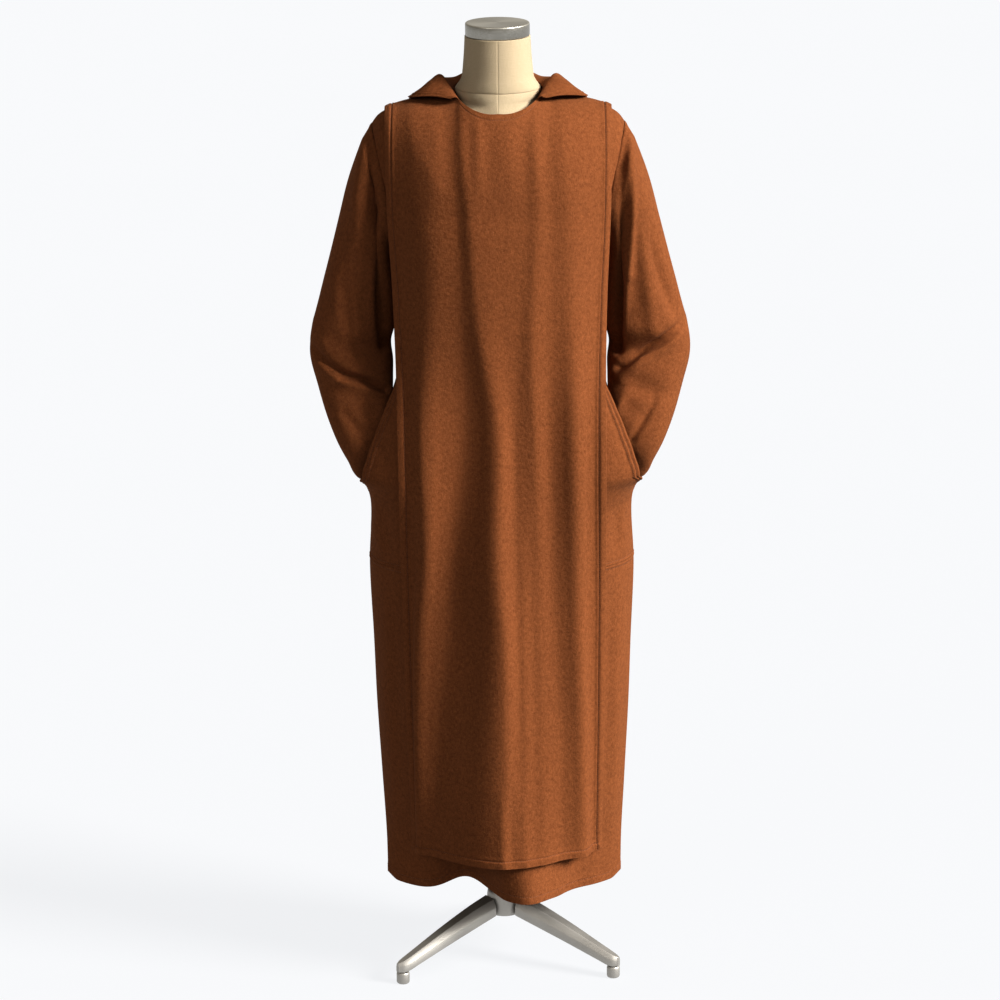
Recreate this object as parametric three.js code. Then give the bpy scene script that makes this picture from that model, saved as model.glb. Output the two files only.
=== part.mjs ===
// Monastic habit on a dress form: robe, sleeves, pockets, scapular and hood, worn by a limbless form on a three-legged stand.
// Millimetres, Z up, the wearer faces -Y, the floor is z = 0 under the feet.
import * as THREE from "three";

// driving dimensions
const CLOTH = 2.0;
const SEAM_GAP = 0.45;
const HEM_Z = 160;
const SCAPULAR_HEM_Z = 233;
const WAIST_SEAM_Z = 759;
const YOKE_Z = 1390;
const YOKE_TOP = 1520;
const SHOULDER_Y = 8;
const NECK_HALF = 74;
const NECK_FRONT_DEPTH = 88;
const NECK_BACK_DEPTH = 60;
const SHOULDER_HALF = 214;
const SCAPULAR_HALF = 191;
const SCAPULAR_LIFT = 4.2;
const CAP_TOP_Z = 1690;
const CAP_BASE_Z = 1668;
const CAP_R = 54.5;
const FOOT_RADIUS = 218;
const LEG_ANGLES = [213, 333, 93];

const rad = (degrees) => (degrees * Math.PI) / 180;
const clamp = (v, lo, hi) => Math.min(hi, Math.max(lo, v));
const mix = (p, q, t) => p + (q - p) * t;
const bell = (v, width) => Math.exp(-((v / width) ** 2));
const spow = (v, e) => Math.sign(v) * Math.abs(v) ** e;
const ease = (t) => t * t * (3 - 2 * t);
const vec = (x, y, z) => new THREE.Vector3(x, y, z);

// A table's columns as smooth functions of its first column.
function table(columns, rows) {
  return (key) => {
    const last = rows.length - 1;
    const at = clamp(key, rows[0][0], rows[last][0]);
    let i = 0;
    while (i < last - 1 && at > rows[i + 1][0]) i++;
    const span = rows[i + 1][0] - rows[i][0];
    const t = (at - rows[i][0]) / span;
    const slope = (k, c) => {
      const lo = Math.max(0, k - 1);
      const hi = Math.min(last, k + 1);
      return (rows[hi][c] - rows[lo][c]) / (rows[hi][0] - rows[lo][0]);
    };
    const out = {};
    columns.forEach((name, c) => {
      if (name.endsWith("_line")) {
        out[name] = mix(rows[i][c], rows[i + 1][c], t);
        return;
      }
      const t2 = t * t;
      const t3 = t2 * t;
      out[name] =
        (2 * t3 - 3 * t2 + 1) * rows[i][c] +
        (t3 - 2 * t2 + t) * span * slope(i, c) +
        (-2 * t3 + 3 * t2) * rows[i + 1][c] +
        (t3 - t2) * span * slope(i + 1, c);
    });
    return out;
  };
}

// robe front: half width, depth, roundness, side seam depth, edge angle of the panel
const FRONT = table(
  ["z", "half", "depth", "round", "seam", "edge_line"],
  [
    [160, 207, 132, 1.36, -4, 90],
    [242, 208, 140, 1.38, -4, 90],
    [355, 214, 150, 1.6, -2, 90],
    [486, 221, 150, 1.82, 0, 90],
    [607, 225, 149, 1.95, 0, 90],
    [744, 230, 147, 2.05, -2, 90],
    [826, 226, 146, 2.1, -8, 90],
    [859, 226, 145, 2.15, -16, 90],
    [880, 229, 144.5, 2.25, -24, 90],
    [898, 236, 144, 2.3, -33, 90],
    [920, 258, 143, 2.35, -41, 65.2],
    [955, 258, 142, 2.35, -38, 60.9],
    [992, 250, 140, 2.3, -30, 58.2],
    [1035, 230, 139, 2.25, -18, 58.7],
    [1075, 205, 138, 2.2, -5, 61.3],
    [1095, 188, 137.5, 2.2, 2, 65.8],
    [1115, 178, 137, 2.2, 4, 71],
    [1132, 171, 136, 2.15, 6, 90],
    [1180, 168, 134, 2.15, 8, 90],
    [1250, 171, 132, 2.15, 8, 90],
    [1295, 173.5, 131, 2.2, 8, 90],
    [1320, 179, 129, 2.2, 8, 78],
    [1345, 187, 127.5, 2.2, 8, 70],
    [1390, 204, 125, 2.2, 8, 64.5],
    [1421, 214, 125, 2.2, 8, 63],
    [1460, 218, 125, 2.2, 8, 66],
    [1490, 219, 125, 2.2, 8, 72],
    [1520, 214, 125, 2.2, 8, 90],
  ],
);

const BACK = table(
  ["z", "half", "depth", "round", "seam", "edge_line"],
  [
    [160, 207, 134, 2.1, -4, 90],
    [242, 208, 133, 2.1, -4, 90],
    [355, 214, 131, 2.1, -2, 90],
    [486, 221, 129, 2.1, 0, 90],
    [607, 225, 127, 2.1, 0, 90],
    [744, 230, 125, 2.1, -2, 90],
    [826, 226, 124, 2.1, -8, 90],
    [859, 226, 123, 2.1, -16, 90],
    [880, 229, 122.5, 2.1, -24, 90],
    [898, 236, 122, 2.1, -33, 90],
    [920, 237, 122, 2.1, -12, 90],
    [955, 226, 121, 2.1, 4, 90],
    [1000, 205, 119, 2.1, 12, 90],
    [1075, 179, 116, 2.1, 9, 90],
    [1132, 171, 114, 2.15, 6, 90],
    [1180, 168, 113, 2.15, 8, 90],
    [1250, 171, 115, 2.15, 8, 90],
    [1295, 173.5, 118, 2.2, 8, 90],
    [1320, 179, 120, 2.2, 8, 78],
    [1345, 187, 121, 2.2, 8, 70],
    [1390, 204, 122, 2.2, 8, 64.5],
    [1421, 214, 122, 2.2, 8, 63],
    [1460, 218, 121, 2.2, 8, 66],
    [1490, 219, 120, 2.2, 8, 72],
    [1520, 214, 120, 2.2, 8, 90],
  ],
);

// scapular front and back: strip half width, then the curve it hangs in
const SCAPULAR_FRONT = table(
  ["z", "strip", "half", "depth", "round"],
  [
    [233, 165, 192, 165, 1.75],
    [355, 168, 212, 163, 1.9],
    [486, 171, 226, 160, 1.95],
    [607, 173, 233, 158, 2.05],
    [744, 175, 242, 155, 2.15],
    [859, 176, 262, 153, 2.3],
    [920, 176.5, 284, 151, 2.35],
    [992, 177, 276, 149, 2.35],
    [1055, 177, 250, 147, 2.3],
    [1130, 177.5, 222, 145, 2.25],
    [1250, 181, 214, 142, 2.2],
    [1345, 186, 215, 136, 2.2],
    [1390, 188, 219, 131, 2.2],
    [1460, 190, 222, 130.5, 2.2],
    [1520, 191, 222, 130.5, 2.2],
  ],
);

const SCAPULAR_BACK = table(
  ["z", "strip", "half", "depth", "round"],
  [
    [233, 166, 210, 153, 2.05],
    [355, 169, 220, 151, 2.1],
    [607, 173, 236, 147, 2.15],
    [744, 175, 244, 144, 2.2],
    [893, 176, 256, 140, 2.25],
    [1000, 177, 236, 136, 2.25],
    [1130, 178, 220, 132, 2.25],
    [1250, 181, 217, 131, 2.25],
    [1345, 186, 219, 131, 2.25],
    [1390, 188, 221, 130, 2.2],
    [1460, 190, 224, 128, 2.2],
    [1520, 191, 224, 127, 2.2],
  ],
);

// height of the shoulder line over the half width, and its front and back run-in under the neck
const SHOULDER = table(
  ["x", "front", "back"],
  [
    [0, 1592, 1612],
    [30, 1588, 1606],
    [46, 1582.5, 1595],
    [60, 1574, 1580],
    [74, 1565, 1565],
    [110, 1561, 1561],
    [148, 1555, 1555],
    [175, 1548, 1548],
    [191, 1541, 1541],
    [205, 1531, 1531],
    [214, 1519, 1519],
  ],
);

// soft folds: side-to-side place, width, height, level where they are strongest, reach up and down
const ROBE_FRONT_FOLDS = [
  { x: 47, wide: 45, high: 34, level: 160, reach: 105 },
  { x: -66, wide: 44, high: -62, level: 160, reach: 230 },
  { x: 128, wide: 24, high: -5, level: 160, reach: 300 },
  { x: -196, wide: 12, high: -5, level: 820, reach: 45 },
  { x: 197, wide: 12, high: -5, level: 820, reach: 45 },
];
const ROBE_BACK_FOLDS = [
  { x: -118, wide: 30, high: 6, level: 200, reach: 420 },
  { x: -52, wide: 26, high: -8, level: 200, reach: 420 },
  { x: 36, wide: 30, high: 6, level: 200, reach: 420 },
  { x: 104, wide: 26, high: -8, level: 200, reach: 420 },
];
const SCAPULAR_FRONT_FOLDS = [
  { x: -58, wide: 27, high: -6, level: 560, reach: 330 },
  { x: 34, wide: 30, high: 5, level: 520, reach: 420 },
  { x: 108, wide: 24, high: -6, level: 640, reach: 260 },
  { x: -126, wide: 24, high: 4, level: 600, reach: 340 },
];
const SCAPULAR_BACK_FOLDS = [
  { x: -70, wide: 28, high: -5, level: 450, reach: 330 },
  { x: 20, wide: 30, high: 5, level: 430, reach: 380 },
  { x: 96, wide: 24, high: -5, level: 500, reach: 300 },
];

function foldsAt(folds, x, z) {
  let sum = 0;
  for (const f of folds) sum += f.high * bell(x - f.x, f.wide) * bell(z - f.level, f.reach);
  return sum;
}

// Curve of a level section: how far the cloth stands from the seam line at x.
function reach(section, seam, x) {
  const part = clamp(Math.abs(x) / section.half, 0, 1);
  return (section.depth + seam) * (1 - part ** section.round) ** (1 / section.round);
}

// Side-to-side place of a column at the top edge: the neckline first, then the shoulder seam.
function topPlace(u, neckShare, widest) {
  const t = Math.abs(u);
  if (t <= neckShare) return Math.sign(u) * NECK_HALF * Math.sin((Math.PI / 2) * (t / neckShare));
  return Math.sign(u) * mix(NECK_HALF, widest, (t - neckShare) / (1 - neckShare));
}

// Upper part of a panel: an arc from the chest or the shoulder blades over to the shoulder seam or the neckline.
function yoke(x, q, section, facing, lift) {
  const stand = reach(section, facing < 0 ? SHOULDER_Y : -SHOULDER_Y, x);
  const neck = (facing < 0 ? NECK_FRONT_DEPTH : NECK_BACK_DEPTH) / Math.max(stand, 1);
  const inside = clamp(1 - Math.abs(x / NECK_HALF) ** 2.5, 0, 1);
  const last = Math.asin(clamp(neck * Math.sqrt(inside), 0, 1));
  const turn = mix(Math.PI / 2, last, q);
  const at = (px, angle) => {
    const over = lift * (1 + 1.0 * bell(Math.abs(px) - NECK_HALF, 20));
    const top = SHOULDER(Math.abs(px))[facing < 0 ? "front" : "back"] + over;
    const out = reach(section, facing < 0 ? SHOULDER_Y : -SHOULDER_Y, px);
    return vec(px, SHOULDER_Y + facing * out * Math.sin(angle), YOKE_Z + (top - YOKE_Z) * Math.cos(angle));
  };
  const p = at(x, turn);
  const across = at(x + 0.5, turn).sub(at(x - 0.5, turn));
  const along = at(x, turn + 0.01).sub(at(x, turn - 0.01));
  p.outward = across.cross(along).normalize();
  if (p.outward.y * facing * Math.sin(turn) + p.outward.z * Math.cos(turn) < 0) p.outward.negate();
  return p;
}

const NECK_SHARE = 4 / 9;

// Robe panel, facing -1 for the front and 1 for the back; u runs from seam to seam, level from hem to shoulder.
function robe(u, level, facing) {
  const section = (facing < 0 ? FRONT : BACK)(level);
  const angle = u * rad(Math.min(section.edge_line, 90));
  const power = 2 / section.round;
  const even = section.half * spow(Math.sin(angle), power);
  if (level > YOKE_Z) {
    const q = (level - YOKE_Z) / (YOKE_TOP - YOKE_Z);
    const x = mix(even, topPlace(u, NECK_SHARE, SHOULDER_HALF), ease(clamp(q, 0, 1)));
    return yoke(x, q, section, facing, 0);
  }
  const span = section.depth - facing * section.seam;
  const y = section.seam + facing * span * spow(Math.cos(angle), power);
  const folds = facing < 0 ? ROBE_FRONT_FOLDS : ROBE_BACK_FOLDS;
  const fold = foldsAt(folds, even, level) * clamp(Math.cos(angle) * 2, 0, 1);
  const lift = facing < 0 ? 14 * bell(even + 61, 55) * bell(level - HEM_Z, 60) : 0;
  return vec(even, y + facing * fold, level + lift);
}

function scapular(u, level, facing) {
  const section = (facing < 0 ? SCAPULAR_FRONT : SCAPULAR_BACK)(level);
  const drift = 5 * clamp((YOKE_Z - level) / 1150, 0, 1);
  const even = u * section.strip;
  if (level > YOKE_Z) {
    const q = (level - YOKE_Z) / (YOKE_TOP - YOKE_Z);
    const x = mix(even, topPlace(u, NECK_SHARE, SCAPULAR_HALF), ease(clamp(q, 0, 1)));
    return yoke(x, q, section, facing, SCAPULAR_LIFT);
  }
  const folds = facing < 0 ? SCAPULAR_FRONT_FOLDS : SCAPULAR_BACK_FOLDS;
  const ends = bell(level - SCAPULAR_HEM_Z, 130);
  const y = SHOULDER_Y + facing * reach(section, facing < 0 ? SHOULDER_Y : -SHOULDER_Y, even);
  return vec(even + drift, y + facing * foldsAt(folds, even, level) * (1 - 0.35 * ends), level);
}

// Sleeve: inner and outer line seen from the front, then depth centre, half depth
const SLEEVE = table(
  ["k", "inX", "inZ", "outX", "outZ", "mid", "deep"],
  [
    [1, 183, 1302, 231, 1491, 8, 66],
    [2, 182, 1282, 256, 1423, 9, 66],
    [3, 179, 1256, 274, 1355, 10, 64],
    [4, 178, 1228, 291, 1288, 11, 62],
    [5, 179, 1196, 308, 1222, 11, 60],
    [6, 181, 1162, 322, 1164, 9, 57],
    [7, 184, 1128, 325, 1117, 3, 53],
    [8, 184, 1096, 314, 1069, -12, 48],
    [9, 184, 1066, 299, 1020, -33, 42],
    [10, 185, 1036, 281, 976, -50, 35],
    [11, 185, 1000, 263, 942, -56, 27],
    [12, 178, 958, 247, 911, -50, 17],
    [12.5, 168, 942, 217, 894, -49, 15.5],
    [13, 156, 925, 200, 872, -58, 15],
    [14, 142, 886, 186, 836, -76, 13],
  ],
);
const SLEEVE_END = 14;

// large folds of a sleeve: station, turn round the sleeve, their widths, height; turn 0 is the outer line, 90 the front, 180 the inner line
const SLEEVE_FOLDS = [
  { at: 2.6, turn: 118, along: 2.4, round: 20, high: 7 },
  { at: 3.0, turn: 84, along: 2.6, round: 22, high: -7 },
  { at: 6.7, turn: 125, along: 0.55, round: 62, high: -9 },
  { at: 5.9, turn: 110, along: 0.5, round: 50, high: 4 },
  { at: 7.5, turn: 105, along: 0.5, round: 55, high: 4 },
  { at: 9.6, turn: 100, along: 0.7, round: 30, high: -4 },
  { at: 4.4, turn: 262, along: 2.2, round: 24, high: -6 },
  { at: 6.6, turn: 20, along: 0.9, round: 24, high: 3 },
];

function sleeveRing(k, turn, side) {
  const s = SLEEVE(k);
  const cosine = Math.cos(turn);
  const sine = Math.sin(turn);
  const across = spow(cosine, 0.92);
  const front = spow(sine, 0.92);
  const degrees = ((turn * 180) / Math.PI + 360) % 360;
  let swell = 0;
  for (const f of SLEEVE_FOLDS) {
    const away = Math.abs(degrees - f.turn);
    swell += f.high * bell(k - f.at, f.along) * bell(Math.min(away, 360 - away), f.round);
  }
  swell *= clamp((k - 1) / 1.2, 0, 1) * clamp((10.6 - k) / 1.2, 0, 1);
  const halfX = (s.outX - s.inX) / 2;
  const halfZ = (s.outZ - s.inZ) / 2;
  const size = Math.hypot(halfX, halfZ);
  const grow = 1 + (swell * Math.abs(cosine)) / size;
  const x = (s.outX + s.inX) / 2 + halfX * across * grow;
  const z = (s.outZ + s.inZ) / 2 + halfZ * across * grow;
  const y = s.mid - (s.deep + swell * Math.abs(sine)) * front;
  return vec(side * x, y, z);
}

// Armhole of the robe from the armpit (0) to the shoulder point (1), on the front or the back panel.
function armhole(t, facing, side) {
  const level = mix(1296, YOKE_TOP, t);
  return robe(side, level, facing);
}

function sleeve(u, k, side) {
  const turn = 2 * Math.PI * u;
  if (k >= 1) return sleeveRing(k, turn, side);
  const half = (((turn % (2 * Math.PI)) + 2 * Math.PI) % (2 * Math.PI)) / Math.PI;
  const frontal = half <= 1;
  const t = frontal ? 1 - half : half - 1;
  const edge = armhole(t, frontal ? -1 : 1, side);
  const rim = vec(edge.x + side * 1.0, edge.y, edge.z);
  return rim.lerp(sleeveRing(1, turn, side), clamp(k, 0, 1));
}

// Hood laid back: neck seam, ridge, under layer, turn at the bottom, upper layer, edge of the face opening.
// share runs from the front end (0) to the centre back (1)
const HOOD_LINES = ["seam", "ridge", "under", "turn", "upper", "edge"];
const HOOD_ROWS = [
  [0.0, [67, -44, 1567], [68, -45, 1569], [71, -46, 1571], [74, -46.5, 1571], [77, -46, 1570], [80, -45, 1569]],
  [0.14, [72, -22, 1569], [81, -22, 1583], [90, -26, 1583], [99, -30, 1578], [106, -32, 1573], [112, -32, 1571]],
  [0.3, [76, 4, 1573], [97, 3, 1600], [112, -2, 1592], [126, -5, 1581], [138, -6, 1572], [148, -6, 1565]],
  [0.46, [74, 32, 1576], [93, 38, 1588], [116, 46, 1572], [137, 54, 1550], [148, 54, 1551], [150, 42, 1556]],
  [0.62, [58, 56, 1583], [76, 68, 1584], [110, 92, 1552], [138, 108, 1503], [146, 110, 1526], [141, 98, 1545]],
  [0.8, [32, 70, 1592], [46, 88, 1590], [78, 130, 1500], [96, 150, 1375], [100, 172, 1425], [93, 158, 1490]],
  [1.0, [0, 74, 1595], [0, 96, 1590], [0, 140, 1470], [0, 152, 1268], [0, 190, 1350], [0, 180, 1458]],
];

function hoodLine(line, share) {
  const rows = HOOD_ROWS.map((r) => [r[0], ...r[line + 1]]);
  const p = table(["share", "x", "y", "z"], rows)(share);
  return vec(Math.max(p.x, 0), p.y, p.z);
}

function hood(u, v) {
  const share = 1 - Math.abs(u);
  const points = HOOD_LINES.map((_, i) => hoodLine(i, share));
  const curve = new THREE.CatmullRomCurve3(points, false, "centripetal");
  const p = curve.getPoint(clamp(v, 0, 1));
  return vec(p.x * (u < 0 ? -1 : 1), p.y, p.z);
}

// Pocket bag behind the sleeve end: side end and bend of each level; its front end is sewn behind the front panel
const POCKET = table(
  ["z", "sideX", "sideY", "bendX", "bendY", "frontX"],
  [
    [785, 158, -68, 128, -96, 112],
    [820, 180, -42, 130, -80, 113],
    [860, 205, -22, 135, -64, 114],
    [892, 228, -24, 141, -56, 116],
    [920, 236, -14.5, 147, -50, 118],
    [955, 222.5, 1, 155, -46, 122],
    [1000, 201.5, 8.5, 160, -46, 126],
    [1050, 181, 6.5, 158, -54, 130],
    [1090, 172, 3.5, 152, -56, 129],
    [1118, 167.5, 1, 145, -46, 122],
  ],
);
const BAG_SEWN_LEFT = CLOTH + 3.9;
const BAG_SEWN_RIGHT = CLOTH + 4.5;

function pocketBag(u, z, side) {
  const p = POCKET(z);
  const panel = FRONT(z);
  const frontY = panel.seam - reach(panel, panel.seam, p.frontX) + (side < 0 ? BAG_SEWN_LEFT : BAG_SEWN_RIGHT);
  const one = (1 - u) * (1 - 2 * u);
  const two = 4 * u * (1 - u);
  const three = u * (2 * u - 1);
  return vec(
    side * (one * p.sideX + two * p.bendX + three * p.frontX),
    one * p.sideY + two * p.bendY + three * frontY,
    z,
  );
}

// mesh building
const materials = {
  wool: new THREE.MeshStandardMaterial({ color: 0x8a4a22, roughness: 0.95 }),
  linen: new THREE.MeshStandardMaterial({ color: 0xe4d8b8, roughness: 0.9 }),
  metal: new THREE.MeshStandardMaterial({ color: 0xb4b2ae, roughness: 0.35, metalness: 1 }),
};

function signedVolume(points, faces) {
  let sum = 0;
  for (let i = 0; i < faces.length; i += 3) {
    const [p, q, r] = [points[faces[i]], points[faces[i + 1]], points[faces[i + 2]]];
    sum += p.dot(q.clone().cross(r));
  }
  return sum;
}

function meshOf(name, points, faces, material) {
  if (signedVolume(points, faces) < 0) {
    for (let i = 0; i < faces.length; i += 3) [faces[i + 1], faces[i + 2]] = [faces[i + 2], faces[i + 1]];
  }
  const geometry = new THREE.BufferGeometry();
  const flat = new Float32Array(points.length * 3);
  points.forEach((p, i) => flat.set([p.x, p.y, p.z], i * 3));
  geometry.setAttribute("position", new THREE.BufferAttribute(flat, 3));
  geometry.setIndex(faces);
  geometry.computeVertexNormals();
  const mesh = new THREE.Mesh(geometry, material.clone());
  mesh.name = name;
  return mesh;
}

// A cloth wall: the outer face from a surface, the inner face one cloth thickness behind it, rims between them.
function wall(name, surface, us, vs, options) {
  const { closed = false, behind = 1, thick = CLOTH, epsU = 0.004, epsV = 0.5, inset = 0 } = options;
  const columns = us.length;
  const points = [];
  const inner = [];
  for (const v of vs) {
    for (const u of us) {
      const p = surface(u, v);
      const du = surface(u + epsU, v).sub(surface(u - epsU, v));
      const dv = surface(u, v + epsV).sub(surface(u, v - epsV));
      const normal = p.outward || du.cross(dv).normalize().multiplyScalar(behind);
      points.push(p.clone().addScaledVector(normal, -inset));
      inner.push(p.clone().addScaledVector(normal, -inset - thick));
    }
  }
  const count = points.length;
  const all = points.concat(inner);
  const faces = [];
  const quad = (a, b, c, d) => faces.push(a, b, c, a, c, d);
  const at = (i, j) => i * columns + (j % columns);
  const spans = closed ? columns : columns - 1;
  for (let i = 0; i < vs.length - 1; i++) {
    for (let j = 0; j < spans; j++) {
      const [a, b, c, d] = [at(i, j), at(i, j + 1), at(i + 1, j + 1), at(i + 1, j)];
      quad(a, b, c, d);
      quad(count + a, count + d, count + c, count + b);
    }
  }
  for (let j = 0; j < spans; j++) {
    const [a, b] = [at(0, j), at(0, j + 1)];
    quad(b, a, count + a, count + b);
    const [c, d] = [at(vs.length - 1, j), at(vs.length - 1, j + 1)];
    quad(c, d, count + d, count + c);
  }
  if (!closed) {
    for (let i = 0; i < vs.length - 1; i++) {
      const [a, b] = [at(i, 0), at(i + 1, 0)];
      quad(a, b, count + b, count + a);
      const [c, d] = [at(i, columns - 1), at(i + 1, columns - 1)];
      quad(d, c, count + c, count + d);
    }
  }
  return meshOf(name, all, faces, materials.wool);
}

const steps = (from, to, n) => Array.from({ length: n + 1 }, (_, i) => mix(from, to, i / n));

// Columns that keep a seam gap at both side edges of a panel about 200 mm wide each side.
const SIDE_TRIM = 0.0024;
const panelColumns = (n) => steps(-1, 1, n).map((u) => u * (1 - SIDE_TRIM));

const SKIRT_LEVELS = [HEM_Z, 200, 255, 340, 450, 580, 690, WAIST_SEAM_Z - SEAM_GAP / 2];
const POCKET_LEVELS = [WAIST_SEAM_Z + SEAM_GAP / 2, 810, 852, 880, 898, 909, 922, 955, 1000, 1050, 1090, 1115, 1132];
const CHEST_LEVELS = [1190, 1250, 1296, 1322, 1388];
const YOKE_LEVELS = [1416, 1446, 1475, 1500, YOKE_TOP - 0.4];
const BACK_LEVELS = [...SKIRT_LEVELS, ...POCKET_LEVELS.slice(1), ...CHEST_LEVELS];

const group = new THREE.Group();
const add = (mesh) => group.add(mesh);

const robeFront = (u, level) => robe(u, level, -1);
const robeBack = (u, level) => robe(u, level, 1);
add(wall("robe_front_skirt", robeFront, panelColumns(18), SKIRT_LEVELS, { behind: 1 }));
add(
  wall("robe_front_upper", robeFront, panelColumns(18), [...POCKET_LEVELS, ...CHEST_LEVELS, ...YOKE_LEVELS], {
    behind: 1,
  }),
);
add(wall("robe_back", robeBack, panelColumns(18), [...BACK_LEVELS, ...YOKE_LEVELS], { behind: -1 }));

const scapularFront = (u, level) => scapular(u, level, -1);
const scapularBack = (u, level) => scapular(u, level, 1);
const SCAPULAR_LEVELS = [SCAPULAR_HEM_Z, 310, 420, 540, 660, 770, 860, 930, 1000, 1080, 1180, 1290, 1388];
add(wall("scapular_front", scapularFront, steps(-1, 1, 18), [...SCAPULAR_LEVELS, ...YOKE_LEVELS], { behind: 1 }));
add(wall("scapular_back", scapularBack, steps(-1, 1, 18), [...SCAPULAR_LEVELS, ...YOKE_LEVELS], { behind: -1 }));

for (const [side, label] of [
  [-1, "left"],
  [1, "right"],
]) {
  const stations = [0, 0.5, 1, 1.8, 2.7, 3.7, 4.7, 5.5, 6.1, 6.7, 7.3, 8, 8.8, 9.6, 10.4, 11.2, 12, 12.5, 13, SLEEVE_END];
  const turns = steps(0, 1, 14).slice(0, 14);
  const surface = (u, k) => sleeve(u, k, side);
  add(wall("sleeve_" + label, surface, turns, stations, { closed: true, behind: side, epsU: 0.012, epsV: 0.01 }));
  const bag = (u, z) => pocketBag(u, z, side);
  add(wall("pocket_bag_" + label, bag, steps(0, 1, 4), [785, 830, 880, 908, 940, 990, 1060, 1118], {
    behind: side,
    thick: 1.4,
  }));
}

const HOOD_COLUMNS = steps(-1, 1, 22);
add(wall("hood", hood, HOOD_COLUMNS, steps(0, 1, 10), { behind: -1, epsU: 0.004, epsV: 0.004 }));

// Dress form: torso and neck as one loft of level sections
const FORM = table(
  ["z", "half", "front", "back", "round"],
  [
    [905, 128, 96, 92, 2.1],
    [960, 146, 106, 98, 2.1],
    [1020, 148, 110, 99, 2.1],
    [1100, 144, 108, 94, 2.1],
    [1180, 138, 106, 92, 2.1],
    [1260, 144, 112, 98, 2.1],
    [1340, 156, 114, 106, 2.2],
    [1400, 168, 113, 108, 2.2],
    [1450, 176, 107, 104, 2.1],
    [1490, 176, 95, 94, 1.9],
    [1515, 168, 83, 86, 1.65],
    [1532, 150, 76, 80, 1.5],
    [1545, 120, 73, 76, 1.45],
    [1553, 85, 69, 70.5, 1.5],
    [1560, 68.5, 65.5, 66.5, 1.75],
    [1567, 69.5, 63.5, 64.5, 1.9],
    [1577, 73, 61, 63, 1.8],
    [1581, 72, 60.6, 62, 1.8],
    [1587, 67.5, 60.2, 61, 1.9],
    [1594, 62.5, 59.6, 60, 2.0],
    [1604, 60.2, 58.6, 59.2, 2.0],
    [1640, 57, 57, 57, 2.0],
    [1667.6, 55.5, 55.5, 55.5, 2.0],
  ],
);

function loft(name, levels, around, point, material) {
  const points = [];
  for (const z of levels) for (let j = 0; j < around; j++) points.push(point((2 * Math.PI * j) / around, z));
  const bottom = points.length;
  points.push(vec(0, 0, levels[0]));
  const top = points.length;
  points.push(vec(0, 0, levels[levels.length - 1]));
  const faces = [];
  for (let i = 0; i < levels.length - 1; i++) {
    for (let j = 0; j < around; j++) {
      const [a, b] = [i * around + j, i * around + ((j + 1) % around)];
      faces.push(a, b, b + around, a, b + around, a + around);
    }
  }
  const last = (levels.length - 1) * around;
  for (let j = 0; j < around; j++) {
    const next = (j + 1) % around;
    faces.push(bottom, next, j, top, last + j, last + next);
  }
  return meshOf(name, points, faces, material);
}

function formPoint(turn, z) {
  const s = FORM(z);
  const x = s.half * spow(Math.sin(turn), 2 / s.round);
  const c = Math.cos(turn);
  const y = -(c > 0 ? s.front : s.back) * spow(c, 2 / s.round);
  return vec(x, y + 2, z);
}
const FORM_LEVELS = [905, 950, 1040, 1180, 1290, 1390, 1450, 1490, 1517, 1535, 1547, 1555, 1562, 1567];
const NECK_SEAM_Z = 1578;
add(loft("form_torso", [...FORM_LEVELS, NECK_SEAM_Z - 0.2], 20, formPoint, materials.linen));
add(loft("form_neck", [NECK_SEAM_Z + 0.2, 1582, 1587, 1594, 1604, 1640, CAP_BASE_Z - 0.4], 24, formPoint, materials.linen));

function lathe(name, profile, segments, material, centre) {
  const shape = profile.map(([r, z]) => new THREE.Vector2(r, z));
  const geometry = new THREE.LatheGeometry(shape, segments);
  geometry.rotateX(Math.PI / 2);
  if (centre) geometry.translate(...centre);
  const mesh = new THREE.Mesh(geometry, material.clone());
  mesh.name = name;
  return mesh;
}

add(
  lathe(
    "neck_cap",
    [
      [0, CAP_BASE_Z],
      [CAP_R, CAP_BASE_Z],
      [CAP_R, CAP_TOP_Z - 1.5],
      [CAP_R - 1.5, CAP_TOP_Z],
      [0, CAP_TOP_Z],
    ],
    40,
    materials.metal,
    [0, 2, 0],
  ),
);
add(
  lathe(
    "pole",
    [
      [0, 472.4],
      [15, 472.4],
      [15, 904.6],
      [0, 904.6],
    ],
    24,
    materials.metal,
  ),
);
add(
  lathe(
    "column",
    [
      [0, 132.4],
      [27.5, 132.4],
      [26.5, 180],
      [24, 300],
      [22, 460],
      [18, 472],
      [0, 472],
    ],
    20,
    materials.metal,
  ),
);
add(
  lathe(
    "hub",
    [
      [0, 88],
      [24, 88],
      [30, 94],
      [31, 112],
      [28.5, 132],
      [0, 132],
    ],
    32,
    materials.metal,
  ),
);

// A leg: bevelled beam that narrows outwards and ends round over its foot
const LEG = table(
  ["r", "half", "shoulder", "low", "step", "top"],
  [
    [31.6, 21, 13, 90, 108, 121],
    [70, 19, 11.5, 76, 95, 108],
    [130, 16, 9.5, 54, 72, 83],
    [190, 13, 7.5, 31, 47, 55],
    [212, 12, 6.5, 23, 38, 45],
    [226, 8, 4, 22, 34, 39],
  ],
);

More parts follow.
